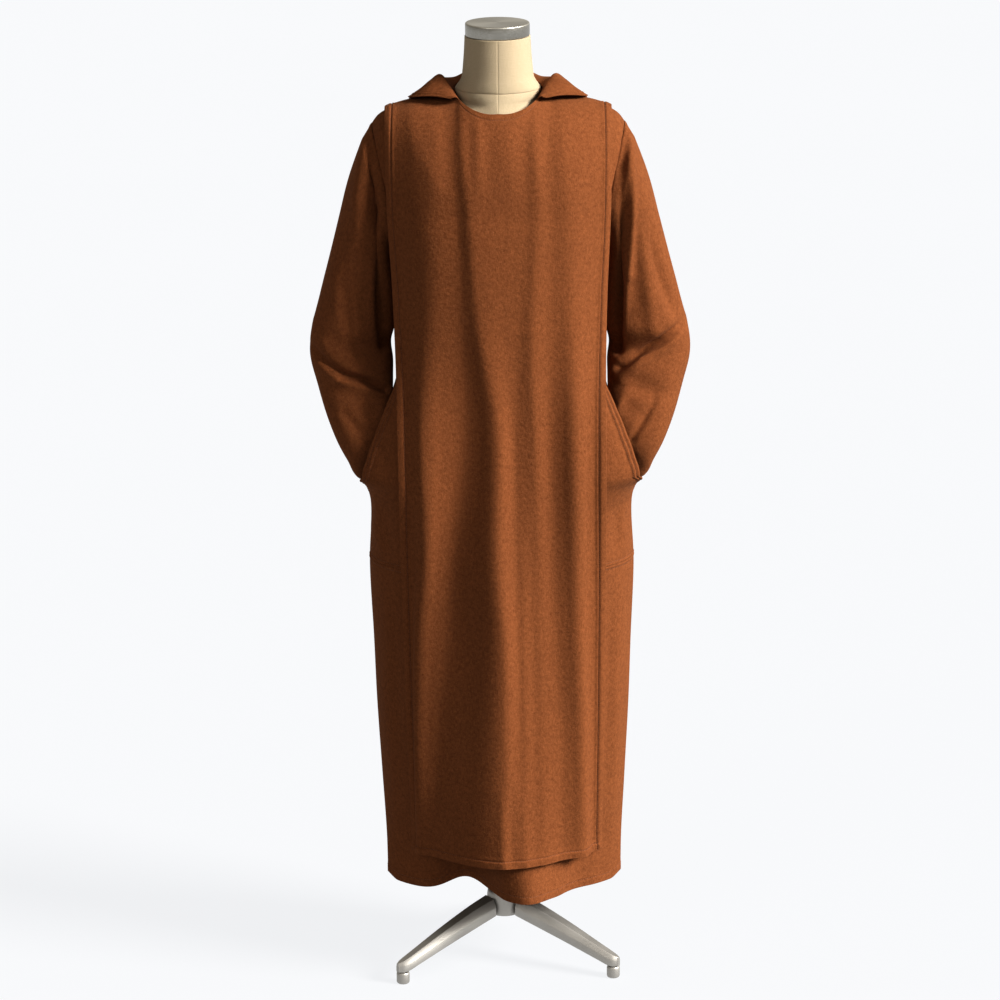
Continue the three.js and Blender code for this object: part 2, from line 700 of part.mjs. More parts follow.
function leg(name, angle) {
  const stations = [31.6, 70, 110, 150, 190, 206, 218, 226];
  const points = [];
  const direction = vec(Math.cos(rad(angle)), Math.sin(rad(angle)), 0);
  const across = vec(-direction.y, direction.x, 0);
  for (const r of stations) {
    const s = LEG(r);
    const outline = [
      [-s.half * 0.82, s.low],
      [s.half * 0.82, s.low],
      [s.half, s.low + 3],
      [s.half, s.step],
      [s.shoulder, s.top],
      [-s.shoulder, s.top],
      [-s.half, s.step],
      [-s.half, s.low + 3],
    ];
    for (const [w, z] of outline) {
      const p = direction.clone().multiplyScalar(r).addScaledVector(across, w);
      p.z = z;
      points.push(p);
    }
  }
  const ring = 8;
  const faces = [];
  for (let i = 0; i < stations.length - 1; i++) {
    for (let j = 0; j < ring; j++) {
      const [a, b] = [i * ring + j, i * ring + ((j + 1) % ring)];
      faces.push(a, b, b + ring, a, b + ring, a + ring);
    }
  }
  const last = (stations.length - 1) * ring;
  for (let j = 1; j < ring - 1; j++) faces.push(0, j + 1, j, last, last + j, last + j + 1);
  return meshOf(name, points, faces, materials.metal);
}

LEG_ANGLES.forEach((angle, i) => {
  const name = ["left", "right", "rear"][i];
  add(leg("leg_" + name, angle));
  const centre = [(FOOT_RADIUS - 3) * Math.cos(rad(angle)), (FOOT_RADIUS - 3) * Math.sin(rad(angle)), 0];
  add(
    lathe(
      "foot_" + name,
      [
        [0, 0],
        [9.5, 0],
        [11.5, 2],
        [11.5, 19.5],
        [10, 21.5],
        [0, 21.5],
      ],
      16,
      materials.metal,
      centre,
    ),
  );
});

// The frame's origin is the middle of the box round everything, on the floor.
const box = new THREE.Box3().setFromObject(group, true);
const middle = box.getCenter(vec(0, 0, 0));
for (const mesh of group.children) mesh.geometry.translate(-middle.x, -middle.y, -box.min.z);

export default group;
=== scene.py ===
import math

import bpy
import numpy as np
from mathutils import Matrix


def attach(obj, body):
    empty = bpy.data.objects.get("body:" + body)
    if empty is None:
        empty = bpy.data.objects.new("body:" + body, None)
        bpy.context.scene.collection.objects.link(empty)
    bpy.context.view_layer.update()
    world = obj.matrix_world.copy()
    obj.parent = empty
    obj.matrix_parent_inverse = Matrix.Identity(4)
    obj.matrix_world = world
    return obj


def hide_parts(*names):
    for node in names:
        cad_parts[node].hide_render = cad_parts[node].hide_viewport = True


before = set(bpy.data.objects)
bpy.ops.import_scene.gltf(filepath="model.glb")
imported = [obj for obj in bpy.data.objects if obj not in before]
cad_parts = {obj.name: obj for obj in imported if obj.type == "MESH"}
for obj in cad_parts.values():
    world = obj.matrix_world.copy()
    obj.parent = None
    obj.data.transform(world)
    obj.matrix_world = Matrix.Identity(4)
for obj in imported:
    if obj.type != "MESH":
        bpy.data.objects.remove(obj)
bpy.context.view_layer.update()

# Garment measures in millimetres. The wearer faces -Y and the floor is z = 0.
# FRAME_Y brings them from the axis of the stand to the middle of the whole.
FRAME_Y = -30.33
MM = 0.001
CLOTH = 1.8
BAG_CLOTH = 1.2
SEAM_GAP = 0.45
HEM_Z = 160
SCAPULAR_HEM_Z = 233
WAIST_SEAM_Z = 759
YOKE_Z = 1390
YOKE_TOP = 1520
SHOULDER_GAP = 0.4
YOKE_RUN = YOKE_TOP - SHOULDER_GAP - YOKE_Z
SHOULDER_Y = 8
NECK_HALF = 74
NECK_FRONT_DEPTH = 88
NECK_BACK_DEPTH = 60
NECK_SHARE = 4 / 9
SHOULDER_HALF = 214
SCAPULAR_HALF = 191
SCAPULAR_LIFT = 4.2
NECK_SEAM_Z = 1578
CAP_BASE_Z = 1668
CAP_TOP_Z = 1690
CAP_R = 54.5
FOOT_RADIUS = 218
LEG_ANGLES = {"left": 213, "right": 333, "rear": 93}
POCKET_MOUTH_LOW = 890
POCKET_MOUTH_HIGH = 1112
BAG_LOW = 785
BAG_HIGH = 1118
FORM_BASE_Z = 905
LEG_START = 31.6

# Rows of stitches: distance from the sewn edge, then from stitch to stitch
EDGE_STITCH = 12.6
NECK_STITCH = 11.0
ROBE_HEM_STITCH = 13.5
SCAPULAR_HEM_STITCH = 14
WAIST_STITCH = 6
POCKET_STITCHES = (7.8, 16.5)
HOOD_STITCH = 10
STITCH_PITCH = 4.2

# Distances from an edge where sewn relief needs close rows
HEM_STEPS = [0, 0.9, 2.4, 5, 8, 10.4, 11.6, 12.3, 12.9, 13.6, 14.8, 17, 20.5]
NECK_STEPS = [0, 0.5, 1.5, 3, 4.5, 5.6, 6.4, 7.2, 8, 9, 10.5, 12.5]
WAIST_STEPS = [0, 1, 2.2, 4, 5, 6, 8, 11]
SEAM_STEPS = [0, 1.2, 3, 5.5, 9]
PATCH_STEPS = [0, 0.9, 2.2, 3.6, 5.2, 6.6, 7.8, 9, 10.6, 12.2, 14, 16.5, 20]

# Shares of its last ring over which the end of a closed body is filled
END_SHARES = (0.02, 0.5, 0.96)

# Where the robe's hem lifts: height, place across, width or run, and reach upwards
HEM_NOTCH = {"high": 14, "x": -61, "wide": 55, "reach": 60}
HEM_CORNERS = {"high": 8, "x": 188, "run": 20, "reach": 26}


def mix(p, q, t):
    return p + (q - p) * t


def bell(v, width):
    return np.exp(-((v / width) ** 2))


def spow(v, e):
    return np.sign(v) * np.abs(v) ** e


def ease(t):
    t = np.clip(t, 0, 1)
    return t * t * (3 - 2 * t)


def points(x, y, z):
    return np.stack(np.broadcast_arrays(x, y, z), axis=-1).astype(float)


def table(columns, rows):
    """Smooth functions of a table's first column; a name that ends in _line is joined straight."""
    data = np.array(rows, float)
    keys = data[:, 0]
    last = len(keys) - 1
    before = np.maximum(np.arange(last + 1) - 1, 0)
    after = np.minimum(np.arange(last + 1) + 1, last)
    slopes = (data[after] - data[before]) / (keys[after] - keys[before])[:, None]

    def at(key):
        key = np.clip(np.asarray(key, float), keys[0], keys[-1])
        i = np.clip(np.searchsorted(keys, key, side="left") - 1, 0, last - 1)
        span = keys[i + 1] - keys[i]
        t = (key - keys[i]) / span
        t2 = t * t
        t3 = t2 * t
        out = {}
        for c, name in enumerate(columns):
            low = data[i, c]
            high = data[i + 1, c]
            if name.endswith("_line"):
                out[name] = mix(low, high, t)
                continue
            rise = (t3 - 2 * t2 + t) * span * slopes[i, c] + (t3 - t2) * span * slopes[i + 1, c]
            out[name] = (2 * t3 - 3 * t2 + 1) * low + (3 * t2 - 2 * t3) * high + rise
        return out

    return at


# Robe front: half width, depth, roundness, side seam depth, edge angle of the panel
FRONT = table(
    ["z", "half", "depth", "round", "seam", "edge_line"],
    [
        [160, 207, 132, 1.36, -4, 90],
        [242, 208, 140, 1.38, -4, 90],
        [355, 214, 150, 1.6, -2, 90],
        [486, 221, 150, 1.82, 0, 90],
        [607, 225, 149, 1.95, 0, 90],
        [744, 230, 147, 2.05, -2, 90],
        [826, 226, 146, 2.1, -8, 90],
        [859, 226, 145, 2.15, -16, 90],
        [880, 229, 144.5, 2.25, -24, 90],
        [898, 236, 144, 2.3, -33, 90],
        [920, 258, 143, 2.35, -41, 65.2],
        [955, 258, 142, 2.35, -38, 60.9],
        [992, 250, 140, 2.3, -30, 58.2],
        [1035, 230, 139, 2.25, -18, 58.7],
        [1075, 205, 138, 2.2, -5, 61.3],
        [1095, 188, 137.5, 2.2, 2, 65.8],
        [1115, 178, 137, 2.2, 4, 71],
        [1132, 171, 136, 2.15, 6, 90],
        [1180, 168, 134, 2.15, 8, 90],
        [1250, 171, 132, 2.15, 8, 90],
        [1295, 173.5, 131, 2.2, 8, 90],
        [1320, 179, 129, 2.2, 8, 78],
        [1345, 187, 127.5, 2.2, 8, 70],
        [1390, 204, 125, 2.2, 8, 64.5],
        [1421, 214, 125, 2.2, 8, 63],
        [1460, 218, 125, 2.2, 8, 66],
        [1490, 219, 125, 2.2, 8, 72],
        [1520, 214, 125, 2.2, 8, 90],
    ],
)
BACK = table(
    ["z", "half", "depth", "round", "seam", "edge_line"],
    [
        [160, 207, 134, 2.1, -4, 90],
        [242, 208, 133, 2.1, -4, 90],
        [355, 214, 131, 2.1, -2, 90],
        [486, 221, 129, 2.1, 0, 90],
        [607, 225, 127, 2.1, 0, 90],
        [744, 230, 125, 2.1, -2, 90],
        [826, 226, 124, 2.1, -8, 90],
        [859, 226, 123, 2.1, -16, 90],
        [880, 229, 122.5, 2.1, -24, 90],
        [898, 236, 122, 2.1, -33, 90],
        [920, 237, 122, 2.1, -12, 90],
        [955, 226, 121, 2.1, 4, 90],
        [1000, 205, 119, 2.1, 12, 90],
        [1075, 179, 116, 2.1, 9, 90],
        [1132, 171, 114, 2.15, 6, 90],
        [1180, 168, 113, 2.15, 8, 90],
        [1250, 171, 115, 2.15, 8, 90],
        [1295, 173.5, 118, 2.2, 8, 90],
        [1320, 179, 120, 2.2, 8, 78],
        [1345, 187, 121, 2.2, 8, 70],
        [1390, 204, 122, 2.2, 8, 64.5],
        [1421, 214, 122, 2.2, 8, 63],
        [1460, 218, 121, 2.2, 8, 66],
        [1490, 219, 120, 2.2, 8, 72],
        [1520, 214, 120, 2.2, 8, 90],
    ],
)

# Scapular: half width of the strip, then the curve that it hangs in
SCAPULAR_FRONT = table(
    ["z", "strip", "half", "depth", "round"],
    [
        [233, 165, 192, 165, 1.75],
        [355, 168, 212, 163, 1.9],
        [486, 171, 226, 160, 1.95],
        [607, 173, 233, 158, 2.05],
        [744, 175, 242, 155, 2.15],
        [859, 176, 262, 153, 2.3],
        [920, 176.5, 284, 151, 2.35],
        [992, 177, 276, 149, 2.35],
        [1055, 177, 250, 147, 2.3],
        [1130, 177.5, 222, 145, 2.25],
        [1250, 181, 214, 142, 2.2],
        [1345, 186, 215, 136, 2.2],
        [1390, 188, 219, 131, 2.2],
        [1460, 190, 222, 130.5, 2.2],
        [1520, 191, 222, 130.5, 2.2],
    ],
)
SCAPULAR_BACK = table(
    ["z", "strip", "half", "depth", "round"],
    [
        [233, 166, 210, 153, 2.05],
        [355, 169, 220, 151, 2.1],
        [607, 173, 236, 147, 2.15],
        [744, 175, 244, 144, 2.2],
        [893, 176, 256, 140, 2.25],
        [1000, 177, 236, 136, 2.25],
        [1130, 178, 220, 132, 2.25],
        [1250, 181, 217, 131, 2.25],
        [1345, 186, 219, 131, 2.25],
        [1390, 188, 221, 130, 2.2],
        [1460, 190, 224, 128, 2.2],
        [1520, 191, 224, 127, 2.2],
    ],
)

# Height of the shoulder line over the half width, and its run-in under the neck
SHOULDER = table(
    ["x", "front", "back"],
    [
        [0, 1592, 1612],
        [30, 1588, 1606],
        [46, 1582.5, 1595],
        [60, 1574, 1580],
        [74, 1565, 1565],
        [110, 1561, 1561],
        [148, 1555, 1555],
        [175, 1548, 1548],
        [191, 1541, 1541],
        [205, 1531, 1531],
        [214, 1519, 1519],
    ],
)

# Large folds of the robe: place, width, height, level where they are strongest, reach
ROBE_FRONT_FOLDS = [
    {"x": 47, "wide": 45, "high": 34, "level": 160, "reach": 105},
    {"x": -66, "wide": 44, "high": -62, "level": 160, "reach": 230},
    {"x": 128, "wide": 24, "high": -5, "level": 160, "reach": 300},
    {"x": -196, "wide": 12, "high": -5, "level": 820, "reach": 45},
    {"x": 197, "wide": 12, "high": -5, "level": 820, "reach": 45},
]
ROBE_BACK_FOLDS = [
    {"x": -118, "wide": 30, "high": 6, "level": 200, "reach": 420},
    {"x": -52, "wide": 26, "high": -8, "level": 200, "reach": 420},
    {"x": 36, "wide": 30, "high": 6, "level": 200, "reach": 420},
    {"x": 104, "wide": 26, "high": -8, "level": 200, "reach": 420},
]

# Soft waves from left to right, each a crest or a valley: level, place, height
SCAPULAR_FRONT_WAVES = [
    [[233, -166, 0], [1540, -186, 0]],
    [[233, -158, -1.5], [352, -158, -2], [627, -161, -2], [895, -162, -2], [1245, -164, -2.5],
     [1501, -167, -1]],
    [[233, -149, 2.5], [426, -150, 3.5], [645, -144, 3.8], [789, -131, 3.8], [1019, -133, 3.5],
     [1314, -121, 4], [1501, -142, 2]],
    [[233, -120, -3], [463, -111, -5.5], [645, -89, -7], [789, -82, -7], [1019, -62, -5],
     [1245, -68, -4], [1520, -74, -1.5]],
    [[233, -1, 3], [463, 1, 7], [645, 2, 9], [789, -8, 8], [1019, -6, 5], [1211, -35, 4],
     [1416, -53, 2.5], [1530, -55, 1.5]],
    [[233, 34, 1], [463, 33, 2], [645, 32, 2.2], [984, 27, -1], [1211, 32, -2.5], [1314, 41, -2.5],
     [1530, 51, -1]],
    [[233, 64, 0], [463, 62, -1], [645, 60, -1], [966, 58, 0.5], [1176, 54, 1.5], [1416, 68, 1.5],
     [1540, 69, 1]],
    [[233, 104, -3.5], [463, 100, -4], [645, 92, -4.5], [931, 85, -4], [1211, 86, -4], [1500, 88, -1]],
    [[233, 139, 3], [463, 136, 3], [645, 131, 3], [931, 127, 3.5], [1365, 120, 4], [1520, 112, 1.5]],
    [[233, 160, -1.5], [645, 160, -2], [1245, 165, -2.5], [1500, 170, -1]],
    [[233, 168, 0], [1540, 188, 0]],
]
SCAPULAR_BACK_WAVES = [
    [[233, -168, 0], [1540, -186, 0]],
    [[233, -136, 4], [520, -132, 5], [900, -140, 3.5], [1250, -128, 3], [1480, -126, 0]],
    [[233, -88, -5], [480, -82, -6.5], [820, -74, -5], [1180, -84, -3], [1400, -80, 0]],
    [[233, -38, 2.5], [560, -46, 3.5], [900, -30, 3.5], [1240, -42, 2], [1400, -40, 0]],
    [[233, -2, -2], [500, -8, -2.5], [900, 2, -3], [1230, -4, -2], [1400, 0, 0]],
    [[233, 36, 4.5], [460, 30, 5.5], [820, 42, 4.5], [1180, 28, 3], [1400, 30, 0]],
    [[233, 92, -5], [540, 98, -6], [860, 88, -4.5], [1220, 92, -3], [1440, 90, 0]],
    [[233, 138, 3.5], [500, 136, 4.5], [900, 142, 3.5], [1250, 130, 3], [1480, 128, 0]],
    [[233, 168, 0], [1540, 188, 0]],
]
ROBE_BACK_WAVES = [
    [[160, -216, 0], [1540, -216, 0]],
    [[160, -176, 6], [420, -184, 7], [760, -188, 4], [1000, -170, 2], [1300, -160, 0]],
    [[160, -146, -6], [420, -150, -7], [760, -150, -4], [1000, -140, -2], [1300, -130, 0]],
    [[160, -98, 5], [420, -94, 6], [760, -90, 2], [1300, -90, 0]],
    [[160, -20, -4], [420, -14, -5], [760, -10, -1], [1300, 0, 0]],
    [[160, 70, 5], [420, 66, 6], [760, 60, 2], [1300, 60, 0]],
    [[160, 142, -6], [420, 146, -7], [760, 150, -4], [1000, 140, -2], [1300, 130, 0]],
    [[160, 180, 6], [420, 186, 6], [760, 188, 4], [1000, 172, 2], [1300, 160, 0]],
    [[160, 216, 0], [1540, 216, 0]],
]
# Small ripples of the scapular under the neckline
NECK_RIPPLES = [
    [[1380, -128, 0], [1560, -132, 0]],
    [[1380, -108, 0], [1500, -106, 1.1], [1560, -104, 0.3]],
    [[1380, -84, 0], [1500, -84, -1.1], [1560, -84, -0.3]],
    [[1380, -62, 0], [1500, -65, 1.3], [1560, -66, 0.5]],
    [[1380, -46, 0], [1500, -48, -1.2], [1560, -48, -0.5]],
    [[1380, -34, 0], [1500, -34, 1.1], [1560, -34, 0.5]],
    [[1380, -16, 0], [1500, -18, -1.2], [1560, -18, -0.5]],
    [[1380, 20, 0], [1500, 18, 1.3], [1560, 18, 0.5]],
    [[1380, 45, 0], [1500, 45, -1.3], [1560, 45, -0.5]],
    [[1380, 62, 0], [1500, 60, 1.2], [1560, 60, 0.5]],
    [[1380, 80, 0], [1500, 80, -1.1], [1560, 80, -0.3]],
    [[1380, 104, 0], [1500, 103, 1.1], [1560, 103, 0.3]],
    [[1380, 126, 0], [1560, 130, 0]],
]

# Creases drawn on a piece as seen from the front: x, z and height along the line, then the width
ROBE_FRONT_CREASES = [
    {"wide": 5.5, "line": [[-219, 880, 0.5], [-214, 850, 2.2], [-219, 812, 2.2], [-212, 795, 1.8],
                           [-197, 768, 0.6]]},
    {"wide": 5.5, "line": [[217, 864, 0.5], [209, 846, 2.2], [206, 830, 2.2], [210, 808, 1.6],
                           [214, 782, 0.4]]},
    {"wide": 12, "line": [[-204, 742, 0], [-199, 640, 2.5], [-203, 520, 3], [-196, 380, 3],
                          [-188, 200, 1.5]]},
    {"wide": 10, "line": [[-188, 736, -0.5], [-184, 640, -2], [-186, 520, -2.5], [-178, 400, -2]]},
    {"wide": 12, "line": [[206, 742, 0], [202, 620, 2.5], [198, 480, 3], [196, 320, 3], [190, 200, 1.5]]},
    {"wide": 10, "line": [[188, 736, -0.5], [186, 640, -2], [182, 500, -2.5], [180, 360, -2]]},
    {"wide": 9, "line": [[196, 1530, 0.5], [201, 1480, 2], [196, 1420, 1.5]]},
    {"wide": 9, "line": [[-197, 1530, 0.5], [-202, 1480, 2], [-197, 1420, 1.5]]},
    {"wide": 14, "line": [[4, 168, 2], [-2, 210, 2.5], [-6, 260, 1]]},
    {"wide": 13, "line": [[92, 166, 3], [98, 205, 2.5], [104, 260, 1]]},
]
SCAPULAR_FRONT_CREASES = [
    {"wide": 11, "line": [[-50, 1540, 0.4], [-49, 1430, 1.2], [-43, 1330, 0.7], [-36, 1230, 0]]},
    {"wide": 12, "line": [[-69, 1500, -0.3], [-67, 1430, -0.9], [-65, 1330, -0.7], [-60, 1240, 0]]},
    {"wide": 12, "line": [[-145, 1530, 0.2], [-122, 1470, 1.0], [-100, 1425, 0.7]]},
    {"wide": 13, "line": [[-162, 1505, -0.2], [-144, 1450, -1.0], [-130, 1405, -0.6]]},
    {"wide": 7, "line": [[2, 1190, 0], [30, 1186, 1], [60, 1188, 1], [88, 1192, 0]]},
    {"wide": 8, "line": [[-4, 392, 0], [-3, 330, 1.5], [-2, 240, 1.8]]},
    {"wide": 7, "line": [[11, 390, 0], [12, 330, -1.5], [13, 240, -1.8]]},
    {"wide": 9, "line": [[30, 400, 0], [33, 330, 1.6], [36, 236, 2]]},
]
RIGHT_SLEEVE_CREASES = [
    {"wide": 8, "line": [[214, 1519, 1], [222, 1461, 4], [226, 1393, 5], [222, 1329, 5.5],
                         [217, 1263, 5.5]]},
    {"wide": 8, "line": [[217, 1263, 0.5], [213, 1216, 3], [207, 1160, 2.5], [200, 1122, 1]]},
    {"wide": 9, "line": [[207, 1420, -1], [209, 1370, -4], [206, 1320, -9], [202, 1263, -13],
                         [199, 1132, -11]]},
    {"wide": 13, "line": [[249, 1358, -1.5], [263, 1301, -4], [280, 1246, -6], [299, 1204, -6],
                          [316, 1174, -2]]},
    {"wide": 14, "line": [[238, 1375, 1], [244, 1298, 2.5], [253, 1228, 3.5], [262, 1167, 2.5]]},
    {"wide": 6.5, "line": [[318, 1174, -2], [297, 1162, -8], [275, 1146, -9.5], [236, 1125, -9.5],
                           [202, 1100, -7]]},
    {"wide": 9, "line": [[308, 1153, 1], [275, 1130, 6], [238, 1111, 7], [206, 1086, 5]]},
    {"wide": 6, "line": [[223, 982, -3], [245, 1017, -4], [264, 1046, -2]]},
    {"wide": 15, "line": [[240, 1067, -2.5], [262, 1062, -3.5], [283, 1056, -1.5]]},
    {"wide": 8, "line": [[196, 1018, 1], [205, 1045, 2.5], [218, 1072, 1]]},
]
LEFT_SLEEVE_CREASES = [
    {"wide": 10, "line": [[-218, 1520, 1], [-232, 1461, 2.5], [-240, 1398, 3], [-240, 1325, 2],
                          [-236, 1250, 1]]},
    {"wide": 10, "line": [[-211, 1470, -5], [-209, 1401, -12], [-206, 1332, -14], [-202, 1272, -14],
                          [-196, 1141, -9]]},
    {"wide": 11, "line": [[-256, 1300, 0], [-250, 1237, 1.6], [-243, 1167, 1.8], [-230, 1096, 0.5]]},
    {"wide": 12, "line": [[-284, 1280, 0], [-276, 1220, 1.4], [-265, 1150, 1.5], [-248, 1094, 0.5]]},
    {"wide": 11, "line": [[-266, 1330, -0.5], [-262, 1230, -1.8], [-254, 1150, -1.8],
                          [-242, 1104, -0.5]]},
    {"wide": 6, "line": [[-324, 1137, -2], [-300, 1113, -6], [-266, 1095, -9], [-227, 1085, -9.5],
                         [-194, 1070, -6]]},
    {"wide": 9, "line": [[-306, 1108, 1], [-275, 1085, 4], [-234, 1074, 4.5], [-201, 1053, 2]]},
    {"wide": 12, "line": [[-318, 1160, 0.5], [-296, 1138, 2], [-252, 1122, 1.5]]},
    {"wide": 8, "line": [[-206, 968, -1], [-236, 996, -2.5], [-266, 1030, -1.5]]},
]
SLEEVE_BACK_CREASES = [
    {"wide": 11, "line": [[232, 1480, 1], [248, 1400, 3], [256, 1310, 4], [250, 1220, 2]]},
    {"wide": 11, "line": [[256, 1460, -1], [276, 1360, -4], [284, 1270, -4], [280, 1200, -1]]},
    {"wide": 9, "line": [[322, 1176, 2], [286, 1150, 4], [246, 1140, 3], [206, 1136, 1]]},
    {"wide": 9, "line": [[322, 1140, -1], [280, 1116, -4], [240, 1106, -4], [200, 1102, -1]]},
    {"wide": 10, "line": [[294, 1040, 1], [268, 1056, 3], [232, 1060, 2]]},
]


def crease(spots, creases):
    """Height of drawn creases over points seen from the front."""
    x = spots[..., 0]
    z = spots[..., 2]
    total = np.zeros_like(x)
    for one in creases:
        line = np.array(one["line"], float)
        nearest = np.full(x.shape, 1e9)
        height = np.zeros_like(x)
        for start, end in zip(line[:-1], line[1:]):
            run = end[:2] - start[:2]
            t = ((x - start[0]) * run[0] + (z - start[1]) * run[1]) / (run @ run)
            t = np.clip(t, 0, 1)
            away = np.hypot(x - start[0] - t * run[0], z - start[1] - t * run[1])
            closer = away < nearest
            nearest = np.where(closer, away, nearest)
            height = np.where(closer, mix(start[2], end[2], t), height)
        total += height * bell(nearest, one["wide"])
    return total


def waves(spots, rows):
    """Height of the soft waves that run down a panel between its crests and valleys."""
    x = spots[..., 0]
    z = spots[..., 2]
    lines = [table(["z", "x", "high"], row)(z) for row in rows]
    total = np.zeros_like(x)
    for near, far in zip(lines[:-1], lines[1:]):
        t = (x - near["x"]) / np.maximum(far["x"] - near["x"], 1)
        inside = (t >= 0) & (t < 1)
        total = np.where(inside, mix(near["high"], far["high"], ease(t)), total)
    return total


def folds_at(folds, x, z):
    total = np.zeros(np.broadcast(x, z).shape)
    for f in folds:
        total = total + f["high"] * bell(x - f["x"], f["wide"]) * bell(z - f["level"], f["reach"])
    return total


def reach(section, seam, x):
    part = np.clip(np.abs(x) / section["half"], 0, 1)
    return (section["depth"] + seam) * (1 - part ** section["round"]) ** (1 / section["round"])


def top_place(u, widest):
    t = np.abs(u)
    neck = NECK_HALF * np.sin(np.pi / 2 * np.clip(t / NECK_SHARE, 0, 1))
    shoulder = mix(NECK_HALF, widest, (t - NECK_SHARE) / (1 - NECK_SHARE))
    return np.sign(u) * np.where(t <= NECK_SHARE, neck, shoulder)


def yoke(x, q, section, facing, lift):
    """Upper part of a panel: an arc from the chest over to the shoulder seam or the neckline."""
    stand = reach(section, -facing * SHOULDER_Y, x)
    depth = NECK_FRONT_DEPTH if facing < 0 else NECK_BACK_DEPTH
    inside = np.clip(1 - np.abs(x / NECK_HALF) ** 2.5, 0, 1)
    last = np.arcsin(np.clip(depth / np.maximum(stand, 1) * np.sqrt(inside), 0, 1))
    turn = mix(np.pi / 2, last, q)
    over = lift * (1 + bell(np.abs(x) - NECK_HALF, 20))
    top = SHOULDER(np.abs(x))["front" if facing < 0 else "back"] + over
    return points(x, SHOULDER_Y + facing * stand * np.sin(turn), YOKE_Z + (top - YOKE_Z) * np.cos(turn))


def hem_lift(across, level, facing):
    """How far the cloth rises at the hem's front notch and at its side corners."""
    up = level - HEM_Z
    notch = HEM_NOTCH
    corner = HEM_CORNERS
    at_notch = notch["high"] * bell(across - notch["x"], notch["wide"]) * bell(up, notch["reach"])
    at_corner = corner["high"] * ease((np.abs(across) - corner["x"]) / corner["run"])
    return (at_notch if facing < 0 else 0) + at_corner * bell(up, corner["reach"])


def robe(u, level, facing):
    """A robe panel: u runs from side seam to side seam, level from the hem to the shoulder."""
    u, level = np.broadcast_arrays(np.asarray(u, float), np.asarray(level, float))
    section = (FRONT if facing < 0 else BACK)(level)
    angle = u * np.radians(np.minimum(section["edge_line"], 90))
    power = 2 / section["round"]
    even = section["half"] * spow(np.sin(angle), power)
    q = (level - YOKE_Z) / (YOKE_TOP - YOKE_Z)
    x = mix(even, top_place(u, SHOULDER_HALF), ease(q))
    upper = yoke(x, q, section, facing, 0)
    span = section["depth"] - facing * section["seam"]
    y = section["seam"] + facing * span * spow(np.cos(angle), power)
    folds = folds_at(ROBE_FRONT_FOLDS if facing < 0 else ROBE_BACK_FOLDS, even, level)
    fold = folds * np.clip(np.cos(angle) * 2, 0, 1)
    lower = points(even, y + facing * fold, level + hem_lift(even, level, facing))
    return np.where((level > YOKE_Z)[..., None], upper, lower)


def scapular(u, level, facing):
    """A scapular panel: a long strip with straight edges."""
    u, level = np.broadcast_arrays(np.asarray(u, float), np.asarray(level, float))
    section = (SCAPULAR_FRONT if facing < 0 else SCAPULAR_BACK)(level)
    even = u * section["strip"]
    q = (level - YOKE_Z) / (YOKE_TOP - YOKE_Z)
    x = mix(even, top_place(u, SCAPULAR_HALF), ease(q))
    upper = yoke(x, q, section, facing, SCAPULAR_LIFT)
    drift = 5 * np.clip((YOKE_Z - level) / 1150, 0, 1)
    y = SHOULDER_Y + facing * reach(section, -facing * SHOULDER_Y, even)
    lower = points(even + drift, y, level)
    return np.where((level > YOKE_Z)[..., None], upper, lower)


# Sleeve: inner and outer line seen from the front, then depth centre and half depth
SLEEVE = table(
    ["k", "inX", "inZ", "outX", "outZ", "mid", "deep"],
    [
        [1, 183, 1302, 231, 1491, 8, 66],
        [2, 182, 1282, 256, 1423, 9, 66],
        [3, 179, 1256, 274, 1355, 10, 64],
        [4, 178, 1228, 291, 1288, 11, 62],
        [5, 179, 1196, 308, 1222, 11, 60],
        [6, 181, 1162, 322, 1164, 9, 57],
        [7, 184, 1128, 325, 1117, 3, 53],
        [8, 184, 1096, 314, 1069, -12, 48],
        [9, 184, 1066, 299, 1020, -33, 42],
        [10, 185, 1036, 281, 976, -50, 35],
        [11, 185, 1000, 263, 942, -56, 27],
        [12, 178, 958, 247, 911, -50, 17],
        [12.5, 168, 942, 217, 894, -49, 15.5],
        [13, 156, 925, 200, 872, -58, 15],
        [14, 142, 886, 186, 836, -76, 13],
    ],
)
SLEEVE_END = 14
SLEEVE_ROUND = 0.92
ARMPIT_Z = 1296
SLEEVE_FOLDS = [
    {"at": 2.6, "turn": 118, "along": 2.4, "round": 20, "high": 7},
    {"at": 3.0, "turn": 84, "along": 2.6, "round": 22, "high": -7},
    {"at": 6.7, "turn": 125, "along": 0.55, "round": 62, "high": -9},
    {"at": 5.9, "turn": 110, "along": 0.5, "round": 50, "high": 4},
    {"at": 7.5, "turn": 105, "along": 0.5, "round": 55, "high": 4},
    {"at": 9.6, "turn": 100, "along": 0.7, "round": 30, "high": -4},
    {"at": 4.4, "turn": 262, "along": 2.2, "round": 24, "high": -6},
    {"at": 6.6, "turn": 20, "along": 0.9, "round": 24, "high": 3},
]


